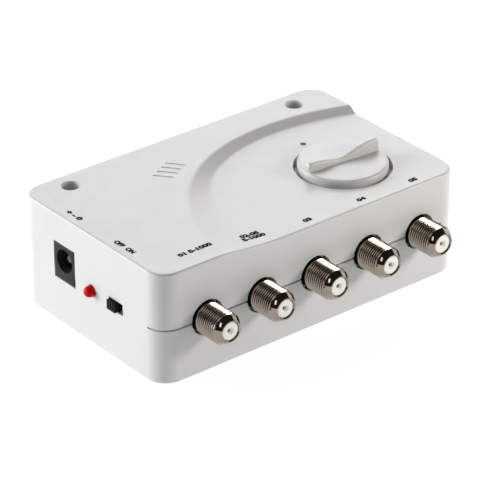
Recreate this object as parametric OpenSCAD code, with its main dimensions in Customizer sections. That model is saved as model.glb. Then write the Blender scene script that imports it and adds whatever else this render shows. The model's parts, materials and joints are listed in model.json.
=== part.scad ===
// Distribution amplifier for television aerial signals: a white two-part plastic case with five
// threaded coaxial sockets on its front, a gain knob in a sunken panel on top, and a power jack,
// a pilot light and a slide switch on its left end.
// Millimetres, +Z up. The origin is the centre of the case's footprint, on the plane it stands on.
// The sockets face -Y, and the end with the power jack faces -X.

/* [Case] */
// Distance between neighbouring signal sockets
port_pitch = 19.3; // [17:0.1:24]
// First socket's axis to the left end of the case
left_margin = 16; // [14.2:0.1:26]
// Last socket's axis to the right end of the case
right_margin = 14.8; // [13:0.1:26]
// Depth of the case, front to back
case_d = 64.8; // [58:0.2:90]
// Height of the case at its raised back part
case_h = 34.4; // [31:0.2:50]
// Height of the seam between the tray and the cover
seam_z = 17; // [15.2:0.1:19]
// Thickness of the upright walls
wall_t = 2; // [1.6:0.1:2.6]
// Thickness of the tray's floor
floor_t = 2.2; // [1.4:0.1:3.2]
// Thickness of the roof under the sunken panel
roof_t = 2; // [1.4:0.1:2.6]
// Radius of the upright corners
corner_r = 6.3; // [4:0.1:8]
// Rounding of the top edge
edge_r = 0.8; // [0.6:0.1:2]
// Height of the tongue that locates the cover on the tray
lip_h = 1.5; // [1:0.1:2]
// Thickness of that tongue
lip_t = 0.9; // [0.6:0.1:1.1]
// Clearance between tongue and cover
lip_gap = 0.12; // [0.05:0.01:0.2]

/* [Sunken panel] */
// Depth of the sunken panel below the raised back part
step_h = 1.9; // [1:0.1:2.6]
// Half length and half width of the oval at the foot of the slope
foot_oval = [45.9, 33.6];
// Half length and half width of the larger oval at the head of the slope
head_oval = [124.6, 81.8];
// Centre of the foot oval, from the knob's axis
foot_centre = [2.9, -5.6];
// Centre of the head oval, from the knob's axis
head_centre = [31.6, -82.3];
// Turn of the foot oval
foot_turn = -6.9; // [-12:0.1:0]
// Turn of the head oval
head_turn = -56.7; // [-60:0.1:-52]

/* [Wall fixing and case screws] */
// Wall-screw holes to the nearest end of the case
fix_from_end = 13; // [12.6:0.1:20]
// Wall-screw holes to the back of the case
fix_from_back = 6.4; // [6.2:0.1:9]
// Diameter of a wall-screw hole
fix_hole_d = 5; // [4:0.1:5.4]
// Outer diameter of the tube round a wall-screw hole
fix_tube_d = 8.4; // [7.4:0.1:8.6]
// Depth of the bevel round the mouth of a wall-screw hole
fix_bevel = 0.6; // [0.2:0.1:1]
// Rear case-screw posts to the nearest end of the case
post_inset_x = 5; // [4.4:0.1:5.2]
// All case-screw posts to the front or back of the case
post_inset_y = 5.1; // [4.6:0.1:5.3]
// Diameter of a case-screw post
post_d = 5.2; // [4.8:0.1:5.6]
// Diameter of the case screws
screw_d = 2.6; // [2:0.1:3]
// Diameter of a case screw's head
screw_head_d = 4.4; // [3.8:0.1:4.6]
// Height of a case screw's head
screw_head_h = 1.8; // [1.2:0.1:2.2]
// How far a case-screw head is sunk below the tray
screw_sink = 3.2; // [2.6:0.1:5]
// How far a case screw reaches into the cover
screw_grip = 6.5; // [4:0.1:9]

/* [Signal sockets] */
// Diameter over a socket's thread
thread_d = 9.5; // [9:0.05:9.8]
// Length of thread in front of the case
thread_len = 8.4; // [6:0.1:10]
// Diameter of the bevelled nose where the thread ends
nose_d = 9; // [8:0.1:9]
// Length of the bevelled nose
nose_len = 1.8; // [1:0.1:3]
// Diameter of a nose at its tip
tip_d = 6.6; // [6.4:0.1:7.4]
// Diameter of a socket's white insulator
insulator_d = 5.6; // [4.6:0.1:6]
// Diameter of a socket's centre contact
contact_d = 1.8; // [1.4:0.1:2.4]
// Hole in the insulator for the cable's centre wire
wire_hole_d = 1.3; // [0.9:0.1:1.4]
// Side of the square flange behind the screen
flange_w = 11; // [10.4:0.1:11.4]
// Thickness of that flange
flange_t = 2; // [1.2:0.1:3]
// Width across the flats of a socket's nut
nut_af = 12; // [11.4:0.1:13]
// Thickness of a socket's nut
nut_t = 2.3; // [1.6:0.1:3.5]
// Thickness of a socket's washer
washer_t = 0.7; // [0.4:0.1:1.2]
// Dark clearance round a socket where it leaves the case
port_gap = 0.85; // [0.4:0.05:1.1]

/* [Circuit board and screen] */
// Sockets' axis above the board
axis_rise = 2.8; // [2.7:0.1:3.4]
// Thickness of the board
board_t = 1.6; // [0.8:0.1:2]
// Gap between the board and the walls at both ends
board_gap = 1.2; // [0.6:0.1:1.6]
// Thickness of the screen's sheet metal
sheet_t = 0.5; // [0.3:0.05:0.6]
// Gap between the screen's lid and the knob's well above it
lid_clear = 2; // [1:0.1:2.4]
// Depth of the lid's rim, turned down at its ends and back
rim_h = 1.7; // [1:0.1:2]
// Diameter of the board screws
board_screw_d = 2.2; // [1.8:0.1:2.6]
// Diameter of a board screw's head
board_head_d = 3.8; // [3.4:0.1:4.2]

/* [Gain knob] */
// Knob's axis to the right end of the case
knob_from_right = 25; // [23:0.1:30]
// Knob's axis to the front of the case
knob_from_front = 22.1; // [21.5:0.1:24]
// Diameter of the knob
knob_d = 26.4; // [22:0.2:29]
// Gap round the knob in its well
well_gap = 0.9; // [0.5:0.1:1.4]
// Depth of the well below the sunken panel
well_depth = 2.4; // [1.6:0.1:2.6]
// Height of the knob's disc above the sunken panel
disc_rise = 2.3; // [1.6:0.1:4]
// Rounding of the disc's rim
rim_r = 1.3; // [0.4:0.1:1.5]
// Height of the finger bar above the disc
bar_h = 3.5; // [2:0.1:6]
// Length of the finger bar
bar_len = 24.6; // [18:0.1:26]
// Thickness of the finger bar at its foot
bar_foot = 3; // [2.6:0.1:6]
// Thickness of the finger bar at its top
bar_top = 2.2; // [2:0.1:5]
// Depth of the hollow in the finger bar's back
bar_dip = 2.3; // [0.5:0.1:2.6]
// Radius of that hollow
dip_r = 12; // [9:0.5:20]
// Turn of the finger bar from the case's length at rest
bar_turn = -3.3; // [-20:0.1:20]
// Diameter of the control's shaft
shaft_d = 6; // [5:0.1:6.4]
// Height of the control's housing above the board
pot_h = 6.5; // [6:0.1:8]
// Side of the control's square housing
pot_w = 12; // [11.4:0.1:13]
// Distance of the index mark behind the knob's axis
mark_from_axis = 17.7; // [15.5:0.1:20]
// Diameter of the index mark
mark_d = 1.4; // [0.8:0.1:2]
// Depth of the index mark
mark_depth = 0.3; // [0.1:0.1:0.8]

/* [Left end] */
// Middle of the power jack to the back of the case
jack_from_back = 20.7; // [18.4:0.1:22.6]
// Width of the power jack
jack_w = 9.4; // [8.6:0.1:10]
// Height of the power jack
jack_h = 11.2; // [10.4:0.1:11.6]
// Length of the power jack
jack_len = 14; // [12:0.1:14.4]
// Diameter of the power jack's mouth
jack_bore_d = 6.4; // [5.6:0.1:6.8]
// Diameter of the power jack's centre pin
jack_pin_d = 2; // [1.6:0.1:2.5]
// Power jack's axis above the board
jack_axis_rise = 6.5; // [6:0.1:6.8]
// Pilot light from half way between the switch and the jack, towards the jack
led_shift = -0.85; // [-1.6:0.05:1]
// Diameter of the pilot light
led_d = 3.3; // [2.6:0.1:3.6]
// How far the pilot light stands out of the case
led_out = 2.5; // [1.6:0.1:4]
// Middle of the slide switch to the front of the case
switch_from_front = 20.4; // [18:0.1:22]
// Travel of the switch
switch_travel = 1.6; // [1.2:0.1:2.4]
// Width of the slider's button along its travel
button_w = 3.8; // [2:0.1:4]
// Height of the slider's button
button_h = 3; // [1.8:0.1:3]
// How far the button stands out of the case
button_out = 1.2; // [1:0.1:3]
// Pilot light's and switch's axis above the board
end_axis_rise = 2.8; // [2.8:0.1:3.4]
// Clearance round the pieces that show through the left end
end_gap = 0.2; // [0.1:0.05:0.3]

/* [Grooves] */
// Number of grooves behind the slope
groove_count = 4; // [0:1:5]
// Length of a groove
groove_len = 6.2; // [3:0.1:8]
// Width of a groove
groove_w = 0.9; // [0.6:0.1:1.4]
// Depth of a groove
groove_depth = 0.6; // [0.3:0.1:1.2]
// Distance between neighbouring grooves
groove_pitch = 2.7; // [2:0.1:3.4]
// Turn of the grooves from the case's length
groove_turn = -52; // [-90:1:0]
// How far each groove is set along from its neighbour
groove_stagger = 0.5; // [0:0.1:1]
// Middle of the grooves from the knob's axis
groove_offset = [-42.7, 26.1];

/* [Hidden] */
port_count = 5;
hair = 0.02;
pad = 1;
case_w = left_margin + (port_count - 1) * port_pitch + right_margin;
left_x = -case_w / 2;
front_y = -case_d / 2;
port_z = seam_z;
function port_x(i) = left_x + left_margin + (i - 1) * port_pitch;

// Heights
panel_z = case_h - step_h;
roof_z = panel_z - roof_t;
well_z = panel_z - well_depth;
cup_t = 1.2;
cup_z = well_z - cup_t;
board_top = seam_z - axis_rise;
board_bottom = board_top - board_t;
fence_top = cup_z - lid_clear - sheet_t;

// Stack of pieces behind the front wall
inner_y = front_y + wall_t;
nut_gap = 0.35;
nut_y = inner_y + nut_gap;
washer_y = nut_y + nut_t;
fence_y = washer_y + washer_t;
flange_y = fence_y + sheet_t;
socket_back_y = flange_y + flange_t;
tip_y = front_y - thread_len - nose_len;
relief_len = 0.8;
relief_depth = 0.3;
relief_d = thread_d - 2 * relief_depth;
hole_gap = 0.15;
port_hole_d = thread_d + 2 * port_gap;
insulator_sink = 0.3;
insulator_nose = 1.2;
insulator_tail_d = 4.6;
insulator_tail = 1.4;
contact_depth = 9;
grip_gap = 0.1;
tail_d = 0.9;
pin_hole_gap = 0.1;
lead_end = 1;

// Board and screen
board_clear = 0.8;
board_x = case_w / 2 - wall_t - board_gap;
board_y = socket_back_y + board_clear;
fix_x = case_w / 2 - fix_from_end;
fix_y = case_d / 2 - fix_from_back;
tube_clear = 0.5;
board_back_y = fix_y - fix_tube_d / 2 - tube_clear;
tail_inset = 1.6;
tail_y = board_y + tail_inset;
fence_clear = 0.5;
fence_x0 = port_x(1) - flange_w / 2 - fence_clear - sheet_t;
fence_x1 = port_x(port_count) + flange_w / 2 + fence_clear + sheet_t;
lid_gap = 0.1;
lid_rim = lid_gap + sheet_t;
jack_y = case_d / 2 - jack_from_back;
jack_clear = 0.7;
fence_back_y = jack_y - jack_w / 2 - jack_clear - lid_rim;
fence_under = 1;
fence_foot = port_z - flange_w / 2 - fence_under;
post_y = case_d / 2 - post_inset_y;
rear_post_x = case_w / 2 - post_inset_x;
post_gap = 0.1;
front_post_reach = lid_rim + post_gap + post_d / 2;
posts_at = [
    [fence_x0 - front_post_reach, -post_y], [fence_x1 + front_post_reach, -post_y],
    [-rear_post_x, post_y], [rear_post_x, post_y]
];
pilot_gap = 0.05;
screw_gap = 0.2;
drive_slot_w = 0.7;
standoff_d = 5.4;
board_screw_len = 5;
board_head_h = 1.6;
front_screw_inset = 3.1;
rear_screw_inset = 3.7;
rear_screw_from_end = 18;
function between_ports(i) = (port_x(i) + port_x(i + 1)) / 2;
board_screws_at = [
    [between_ports(1), board_y + front_screw_inset],
    [between_ports(3), board_y + front_screw_inset],
    [left_x + rear_screw_from_end, board_back_y - rear_screw_inset],
    [-left_x - rear_screw_from_end, board_back_y - rear_screw_inset]
];

// Knob and its control
knob_x = case_w / 2 - knob_from_right;
knob_y = front_y + knob_from_front;
knob_r = knob_d / 2;
well_r = knob_r + well_gap;
knob_lift = 0.5;
skirt_z = well_z + knob_lift;
disc_z = panel_z + disc_rise;
skirt_t = 1.6;
disc_t = 2;
hub_wall = 1.8;
hub_d = shaft_d + 2 * hub_wall;
knob_roof = 1;
shaft_top = disc_z - knob_roof;
flat_depth = 1.5;
run_gap = 0.05;
seat_gap = 0.03;
track_t = 1;
pot_roof = 1;
pot_bore_d = 10.2;
bushing_wall = 1;
bushing_d = shaft_d + 2 * bushing_wall;
bushing_h = 3.2;
collar_d = 8.4;
wiper_rise = 2.2;
wiper_t = 1.2;
wiper_z = board_top + wiper_rise;
collar_z = wiper_z + wiper_t + seat_gap;
collar_clear = 0.4;
collar_h = board_top + pot_h - pot_roof - collar_clear - collar_z;
wiper_d = 9.4;
brush_d = 1;
brush_r = 3.6;
brush_gap = 0.3;
shaft_passage = 0.6;

// Power jack, pilot light and switch
jack_z = board_top + jack_axis_rise;
jack_bore_len = 10;
jack_pin_sink = 1.8;
jack_leg_d = 1.2;
jack_leg_gap = 0.8;
jack_leg_x = left_x + jack_len + jack_leg_gap;
leaf_t = 0.4;
leaf_w = 2.4;
leaf_inset = 2.4;
leaf_x = left_x + leaf_inset;
leaf_len = 7;
leaf_z = jack_z - jack_bore_d / 2;
leaf_slot_gap = 0.1;
switch_y = front_y + switch_from_front;
led_y = (switch_y + jack_y) / 2 + led_shift;
end_z = board_top + end_axis_rise;
end_x = left_x + wall_t;
end_clear = 0.35;
led_flange = 0.4;
led_flange_d = led_d + 2 * led_flange;
led_flange_t = 1;
led_flange_x = end_x + end_clear;
lead_d = 0.6;
lead_pitch = 2.54;
lead_reach = 1.8;
lead_x = led_flange_x + led_flange_t + lead_reach;
switch_x = end_x + end_clear;
switch_t = 3.4;
switch_ends = 4.6;
switch_w = button_w + switch_travel + switch_ends;
switch_h = 2 * end_axis_rise;
can_t = 0.5;
slide_gap = 0.3;
block_l = switch_w - 2 * can_t - switch_travel - 2 * slide_gap;
block_t = 1.6;
block_x = switch_x + can_t + slide_gap;
button_y = switch_y + switch_travel / 2;
slot_play = 0.5;
slot_len = button_w + switch_travel + 2 * slot_play;
slot_h = button_h + 2 * slide_gap;
bridge_t = 0.5;
bridge_l = 3.4;
bridge_h = 1.4;
switch_back_x = switch_x + switch_t;
switch_base_t = 0.8;
pin_d = 0.8;
pin_pitch = 2.5;
pin_reach = 0.5;
switch_pin_x = switch_back_x + switch_base_t + pin_reach;

// Parts on the board
core_d = 4.8;
core_bore_d = 2.4;
core_h = 3;
core_inset = 8.5;
core_y = board_y + core_inset;
chip_l = 5;
chip_w = 4;
chip_h = 1.5;
chip_leg_l = 0.9;
chip_leg_w = 0.4;
chip_leg_h = 0.5;
chip_leg_pitch = 1.25;
chip_inset = 17;
chip_y = board_y + chip_inset;
small_chip_l = 2;
small_chip_w = 1.25;
small_chip_h = 0.6;
chip_row_inset = 6;
first_chip_x = fence_x0 + chip_row_inset;
resistor_count = 7;
resistor_pitch = 4;
resistor_inset = 13;
resistor_y = board_y + resistor_inset;
capacitor_chip_count = 6;
capacitor_chip_pitch = 5;
capacitor_chip_inset = 21;
capacitor_chip_y = board_y + capacitor_chip_inset;
power_inset = 7;
power_y = board_back_y - power_inset;
first_can_from_end = 27;
can_pitch = 9;
can_cap_d = 8;
can_cap_h = 12;
can_groove = 0.4;
can_groove_z = 1.6;
can_groove_h = 0.8;
regulator_from_end = 46;
regulator_l = 6.6;
regulator_w = 6.1;
regulator_h = 2.3;
regulator_tab_l = 5.4;
regulator_tab_w = 2.6;
regulator_tab_h = 0.6;
choke_from_end = 57;
choke_d = 7.5;
choke_core_d = 4.4;
choke_h = 8;
choke_rim = 1.4;
diode_from_end = 67;
diode_d = 2.7;
diode_len = 5.2;
diode_lead = 1.8;

// A box between two opposite corners
module span(a, b) {
    translate(a) cube(b - a);
}

// Cylinders along X, Y and Z, from one place to another on that axis
module rod_x(d, x0, x1) {
    translate([x0, 0, 0]) rotate([0, 90, 0]) cylinder(d = d, h = x1 - x0, $fn = 48);
}
module rod_y(d, y0, y1) {
    translate([0, y0, 0]) rotate([-90, 0, 0]) cylinder(d = d, h = y1 - y0, $fn = 64);
}
module rod_z(d, z0, z1) {
    translate([0, 0, z0]) cylinder(d = d, h = z1 - z0, $fn = 64);
}
// A cone along Y between two diameters
module cone_y(d0, d1, y0, y1) {
    translate([0, y0, 0]) rotate([-90, 0, 0]) cylinder(d1 = d0, d2 = d1, h = y1 - y0, $fn = 64);
}

// The case's footprint, drawn in from its outline
module footprint(inset) {
    w = case_w - 2 * inset;
    d = case_d - 2 * inset;
    r = corner_r - inset;
    square([w - 2 * r, d], center = true);
    square([w, d - 2 * r], center = true);
    for (sx = [-1, 1], sy = [-1, 1])
        translate([sx * (w / 2 - r), sy * (d / 2 - r)]) circle(r, $fn = 64);
}
module slab(inset, z0, z1) {
    translate([0, 0, z0]) linear_extrude(z1 - z0) footprint(inset);
}

// Places of the case-screw posts and of the tubes for wall screws
module at_posts() {
    for (p = posts_at) translate([p.x, p.y, 0]) children();
}
module at_fixings() {
    for (sx = [-1, 1]) translate([sx * fix_x, fix_y, 0]) children();
}
module at_board_screws() {
    for (p = board_screws_at) translate([p.x, p.y, 0]) children();
}
module at_port(i) {
    translate([port_x(i), 0, port_z]) children();
}
module at_knob() {
    translate([knob_x, knob_y, 0]) rotate([0, 0, bar_turn]) children();
}

// Everything that passes through the front wall and the left end
module wall_openings() {
    for (i = [1:port_count])
        at_port(i) rod_y(port_hole_d, front_y - pad, inner_y + nut_gap / 2);
    span([left_x - pad, jack_y - jack_w / 2 - end_gap, board_top - end_gap],
         [end_x + pad, jack_y + jack_w / 2 + end_gap, board_top + jack_h + end_gap]);
    translate([0, led_y, end_z]) rod_x(led_d + 2 * end_gap, left_x - pad, end_x + pad);
    span([left_x - pad, switch_y - slot_len / 2, end_z - slot_h / 2],
         [end_x + pad, switch_y + slot_len / 2, end_z + slot_h / 2]);
}

// The outside of the cover, with its rounded top edge
module cover_block() {
    hull()
        for (sx = [-1, 1], sy = [-1, 1])
            translate([sx * (case_w / 2 - corner_r), sy * (case_d / 2 - corner_r), seam_z]) {
                cylinder(r = corner_r, h = case_h - seam_z - edge_r, $fn = 64);
                for (a = [15:15:90])
                    cylinder(r = corner_r - edge_r * (1 - cos(a)),
                             h = case_h - seam_z - edge_r * (1 - sin(a)), $fn = 64);
            }
}
// One oval of the slope round the sunken panel
module oval(centre, half, turn) {
    translate([knob_x, knob_y]) translate(centre) rotate(turn)
        scale([half.x / half.y, 1]) circle(half.y, $fn = 120);
}
// The space over the sunken panel and its slope
module panel_space() {
    hull() {
        translate([0, 0, panel_z]) linear_extrude(hair) oval(foot_centre, foot_oval, foot_turn);
        translate([0, 0, case_h]) linear_extrude(pad) oval(head_centre, head_oval, head_turn);
    }
}
module top_grooves() {
    translate([knob_x + groove_offset.x, knob_y + groove_offset.y, case_h - groove_depth]) rotate(groove_turn)
        for (k = [0:1:groove_count - 1])
            translate((k - (groove_count - 1) / 2) * [groove_stagger, groove_pitch, 0]
                      - [groove_len, groove_w, 0] / 2) cube([groove_len, groove_w, groove_depth + pad]);
}
module top_cover() {
    color("whitesmoke") difference() {
        union() {
            difference() {
                cover_block();
                slab(wall_t, seam_z - pad, roof_z);
                panel_space();
            }
            at_fixings() rod_z(fix_tube_d, seam_z, roof_z + roof_t / 2);
            at_posts() rod_z(post_d, seam_z, roof_z + roof_t / 2);
            translate([knob_x, knob_y, 0]) rod_z(2 * (well_r + cup_t), cup_z, panel_z);
        }
        difference() {
            slab(wall_t - lip_t - lip_gap, seam_z - pad, seam_z + lip_h + lip_gap);
            slab(wall_t + lip_gap, seam_z - 2 * pad, seam_z + lip_h + pad);
        }
        translate([knob_x, knob_y, 0]) {
            rod_z(2 * well_r, well_z, case_h + pad);
            rod_z(shaft_d + 2 * shaft_passage, cup_z - pad, well_z + pad);
        }
        translate([knob_x, knob_y + mark_from_axis, 0])
            rod_z(mark_d, panel_z - mark_depth, case_h);
        at_fixings() {
            rod_z(fix_hole_d, seam_z - pad, case_h + pad);
            translate([0, 0, case_h - fix_bevel])
                cylinder(d1 = fix_hole_d, d2 = fix_hole_d + 4 * fix_bevel, h = 2 * fix_bevel, $fn = 64);
        }
        at_posts() rod_z(screw_d + 2 * pilot_gap, seam_z - pad, seam_z + screw_grip + pad);
        top_grooves();
        wall_openings();
    }
}

module base_tray() {
    color("white") difference() {
        union() {
            difference() {
                slab(0, 0, seam_z);
                slab(wall_t, floor_t, seam_z + pad);
            }
            difference() {
                slab(wall_t - lip_t, seam_z - pad, seam_z + lip_h);
                slab(wall_t, seam_z - 2 * pad, seam_z + lip_h + pad);
            }
            at_fixings() rod_z(fix_tube_d, floor_t / 2, seam_z);
            at_posts() rod_z(post_d, floor_t / 2, seam_z);
            at_board_screws() rod_z(standoff_d, floor_t / 2, board_bottom);
        }
        at_fixings() rod_z(fix_hole_d, -pad, seam_z + pad);
        at_posts() {
            rod_z(screw_head_d + 2 * screw_gap, -pad, screw_sink);
            rod_z(screw_d + 2 * screw_gap, 0, seam_z + pad);
        }
        at_board_screws()
            rod_z(board_screw_d + 2 * pilot_gap, board_bottom - board_screw_len, board_bottom + pad);
        wall_openings();
    }
}

// Four screws that hold the cover, driven from under the tray
module case_screws() {
    color("silver") at_posts() difference() {
        union() {
            rod_z(screw_head_d, screw_sink - screw_head_h, screw_sink);
            rod_z(screw_d, screw_sink - hair, seam_z + screw_grip);
        }
        for (a = [0, 90])
            rotate(a) span([-screw_d / 2, -drive_slot_w / 2, screw_sink - screw_head_h - pad],
                           [screw_d / 2, drive_slot_w / 2, screw_sink - screw_head_h / 2]);
    }
}

// Half outline of the knob's disc, with its rounded rim
function disc_outline() = concat(
    [[0, skirt_z], [knob_r, skirt_z]],
    [for (a = [0:15:90]) [knob_r - rim_r * (1 - cos(a)), disc_z - rim_r * (1 - sin(a))]],
    [[0, disc_z]]
);
// The shaft's end, with the flat that drives the knob
module drive_end(d, z0, z1, flat) {
    difference() {
        rod_z(d, z0, z1);
        span([d / 2 - flat, -d, z0 - pad], [d, d, z1 + pad]);
    }
}
module finger_bar() {
    difference() {
        intersection() {
            translate([-bar_len / 2, 0, disc_z - rim_r]) rotate([90, 0, 90]) linear_extrude(bar_len)
                polygon([[-bar_foot / 2, 0], [bar_foot / 2, 0],
                         [bar_top / 2, rim_r + bar_h - bar_top / 6], [bar_top / 3, rim_r + bar_h],
                         [-bar_top / 3, rim_r + bar_h], [-bar_top / 2, rim_r + bar_h - bar_top / 6]]);
            rod_z(bar_len, skirt_z, disc_z + bar_h + pad);
        }
        translate([0, 0, disc_z + bar_h - bar_dip + dip_r]) rod_y(2 * dip_r, -bar_foot - pad, bar_foot + pad);
    }
}
module gain_knob() {
    color("gainsboro") at_knob() difference() {
        union() {
            rotate_extrude($fn = 96) polygon(disc_outline());
            finger_bar();
        }
        difference() {
            rod_z(2 * (knob_r - skirt_t), skirt_z - pad, disc_z - disc_t);
            rod_z(hub_d, skirt_z - 2 * pad, disc_z);
        }
        drive_end(shaft_d + 2 * seat_gap, skirt_z - pad, shaft_top + 2 * seat_gap, flat_depth);
    }
}

// Rotary control under the knob
module pot_shaft() {
    color("silver") at_knob() {
        rod_z(shaft_d, wiper_z, skirt_z);
        rod_z(collar_d, collar_z, collar_z + collar_h);
        drive_end(shaft_d, skirt_z - hair, shaft_top, flat_depth);
    }
}
module pot_wiper() {
    color("saddlebrown") at_knob() {
        difference() {
            rod_z(wiper_d, wiper_z, wiper_z + wiper_t);
            rod_z(shaft_d + 2 * seat_gap, wiper_z - pad, wiper_z + wiper_t + pad);
        }
        translate([0, brush_r, 0]) rod_z(brush_d, board_top + track_t + brush_gap, wiper_z + hair);
    }
}
module pot_housing() {
    color("steelblue") translate([knob_x, knob_y, 0]) difference() {
        union() {
            span([-pot_w / 2, -pot_w / 2, board_top + track_t], [pot_w / 2, pot_w / 2, board_top + pot_h]);
            rod_z(bushing_d, board_top + pot_h - hair, board_top + pot_h + bushing_h);
        }
        rod_z(pot_bore_d, board_top + track_t - pad, board_top + pot_h - pot_roof);
        rod_z(shaft_d + 2 * run_gap, board_top, board_top + pot_h + bushing_h + pad);
    }
}
module pot_track() {
    color("peru") translate([knob_x, knob_y, 0])
        span([-pot_w / 2, -pot_w / 2, board_top], [pot_w / 2, pot_w / 2, board_top + track_t]);
}
function pot_pins_at() = [for (k = [-1:1]) [knob_x + k * pin_pitch, knob_y - pot_w / 2 - pin_d]];
module pot_pins() {
    color("silver") for (p = pot_pins_at()) translate([p.x, p.y, 0]) {
        rod_z(pin_d, board_bottom - lead_end, board_top + track_t);
        translate([0, 0, board_top + track_t / 2]) rod_y(pin_d, 0, pin_d);
    }
}

// Slide switch on the left end
module switch_slider() {
    color("dimgray") translate([0, button_y, end_z]) {
        span([block_x, -block_l / 2, -switch_h / 2 + can_t + slide_gap],
             [block_x + block_t, block_l / 2, switch_h / 2 - can_t - slide_gap]);
        span([left_x - button_out, -button_w / 2, -button_h / 2],
             [block_x + hair, button_w / 2, button_h / 2]);
    }
}
module switch_bridge() {
    color("goldenrod") translate([block_x + block_t, button_y, end_z])
        span([0, -bridge_l / 2, -bridge_h / 2], [bridge_t, bridge_l / 2, bridge_h / 2]);
}
module switch_can() {
    color("silver") translate([0, switch_y, end_z]) difference() {
        span([switch_x, -switch_w / 2, -switch_h / 2], [switch_back_x, switch_w / 2, switch_h / 2]);
        span([switch_x + can_t, -switch_w / 2 + can_t, -switch_h / 2 + can_t],
             [switch_back_x + pad, switch_w / 2 - can_t, switch_h / 2 - can_t]);
        span([switch_x - pad, -slot_len / 2, -slot_h / 2], [switch_x + pad, slot_len / 2, slot_h / 2]);
    }
}
function switch_pins_at() = [for (k = [-1:1]) [switch_pin_x, switch_y + k * pin_pitch]];
module switch_base() {
    color("sienna") difference() {
        translate([0, switch_y, end_z])
            span([switch_back_x, -switch_w / 2, -switch_h / 2],
                 [switch_back_x + switch_base_t, switch_w / 2, switch_h / 2]);
        for (p = switch_pins_at())
            translate([0, p.y, end_z]) rod_x(pin_d + 2 * seat_gap, switch_back_x - pad, switch_pin_x);
    }
}
module switch_pins() {
    color("gold") for (p = switch_pins_at()) translate([0, p.y, 0]) {
        translate([0, 0, end_z]) rod_x(pin_d, switch_back_x - slide_gap / 2, switch_pin_x);
        translate([p.x, 0, 0]) rod_z(pin_d, board_bottom - lead_end, end_z + pin_d / 2);
    }
}

// Pilot light
module led_lens() {
    color("red") translate([0, led_y, end_z]) {
        translate([left_x - led_out + led_d / 2, 0, 0]) sphere(d = led_d, $fn = 48);
        rod_x(led_d, left_x - led_out + led_d / 2, led_flange_x + hair);
        rod_x(led_flange_d, led_flange_x, led_flange_x + led_flange_t);
    }
}
function led_leads_at() = [for (k = [-0.5, 0.5]) [lead_x, led_y + k * lead_pitch]];
module led_leads() {
    color("silver") for (p = led_leads_at()) translate([0, p.y, 0]) {
        translate([0, 0, end_z]) rod_x(lead_d, led_flange_x + led_flange_t, lead_x);
        translate([p.x, 0, 0]) rod_z(lead_d, board_bottom - lead_end, end_z + lead_d / 2);
    }
}

// Power jack
module dc_jack_body() {
    color("black") translate([0, jack_y, 0]) difference() {
        span([left_x, -jack_w / 2, board_top], [left_x + jack_len, jack_w / 2, board_top + jack_h]);
        translate([0, 0, jack_z]) {
            rod_x(jack_bore_d, left_x - pad, left_x + jack_bore_len);
            rod_x(jack_pin_d + 2 * seat_gap, left_x, left_x + jack_len + pad);
        }
        span([leaf_x - leaf_slot_gap, -leaf_w / 2 - leaf_slot_gap, leaf_z - leaf_t - leaf_slot_gap],
             [leaf_x + leaf_len + leaf_slot_gap, leaf_w / 2 + leaf_slot_gap, jack_z]);
        translate([leaf_x + leaf_len / 2, 0, 0])
            rod_z(jack_leg_d + 2 * leaf_slot_gap, board_top - pad, leaf_z);
    }
}
module dc_jack_pin() {
    color("silver") translate([0, jack_y, 0]) {
        translate([0, 0, jack_z]) rod_x(jack_pin_d, left_x + jack_pin_sink, jack_leg_x);
        translate([jack_leg_x, 0, 0])
            rod_z(jack_leg_d, board_bottom - lead_end, jack_z + jack_leg_d / 2);
    }
}
module dc_jack_leaf() {
    color("goldenrod") translate([0, jack_y, 0]) {
        span([leaf_x, -leaf_w / 2, leaf_z - leaf_t], [leaf_x + leaf_len, leaf_w / 2, leaf_z]);
        translate([leaf_x + leaf_len / 2, 0, 0])
            rod_z(jack_leg_d, board_bottom - lead_end, leaf_z - leaf_t / 2);
    }
}
function jack_legs_at() = [[jack_leg_x, jack_y], [leaf_x + leaf_len / 2, jack_y]];

// Coaxial sockets
module f_socket(i) {
    color("darkkhaki") at_port(i) difference() {
        union() {
            cone_y(tip_d, nose_d, tip_y, front_y - thread_len + hair);
            rod_y(thread_d, front_y - thread_len, front_y);
            rod_y(relief_d, front_y - hair, front_y + relief_len + hair);
            rod_y(thread_d, front_y + relief_len, flange_y + hair);
            span([-flange_w / 2, flange_y, -flange_w / 2], [flange_w / 2, socket_back_y, flange_w / 2]);
        }
        rod_y(insulator_d + 2 * seat_gap, tip_y - pad, socket_back_y + pad);
    }
}
module f_insulator(i) {
    color("ivory") at_port(i) difference() {
        union() {
            rod_y(insulator_d, tip_y + insulator_sink, socket_back_y);
            rod_y(insulator_tail_d, socket_back_y - hair, socket_back_y + insulator_tail);
        }
        rod_y(wire_hole_d, tip_y - pad, tip_y + insulator_sink + insulator_nose + pad);
        rod_y(contact_d + 2 * seat_gap, tip_y + insulator_sink + insulator_nose, tail_y + pad);
    }
}
module f_contact(i) {
    contact_y = tip_y + insulator_sink + insulator_nose + hair;
    color("gold") at_port(i) {
        difference() {
            rod_y(contact_d, contact_y, tail_y + tail_d);
            rod_y(wire_hole_d - 2 * grip_gap, contact_y - pad, contact_y + contact_depth);
        }
        translate([0, tail_y, 0]) rod_z(tail_d, board_bottom - lead_end - port_z, 0);
    }
}
module f_nuts() {
    color("silver") for (i = [1:port_count]) at_port(i) difference() {
        translate([0, nut_y, 0]) rotate([-90, 0, 0]) rotate(30)
            cylinder(d = nut_af / cos(30), h = nut_t, $fn = 6);
        rod_y(thread_d + 2 * seat_gap, nut_y - pad, nut_y + nut_t + pad);
    }
}
module f_washers() {
    color("gray") for (i = [1:port_count]) at_port(i) difference() {
        rod_y(nut_af, washer_y, washer_y + washer_t);
        rod_y(thread_d + 2 * seat_gap, washer_y - pad, washer_y + washer_t + pad);
    }
}

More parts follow.
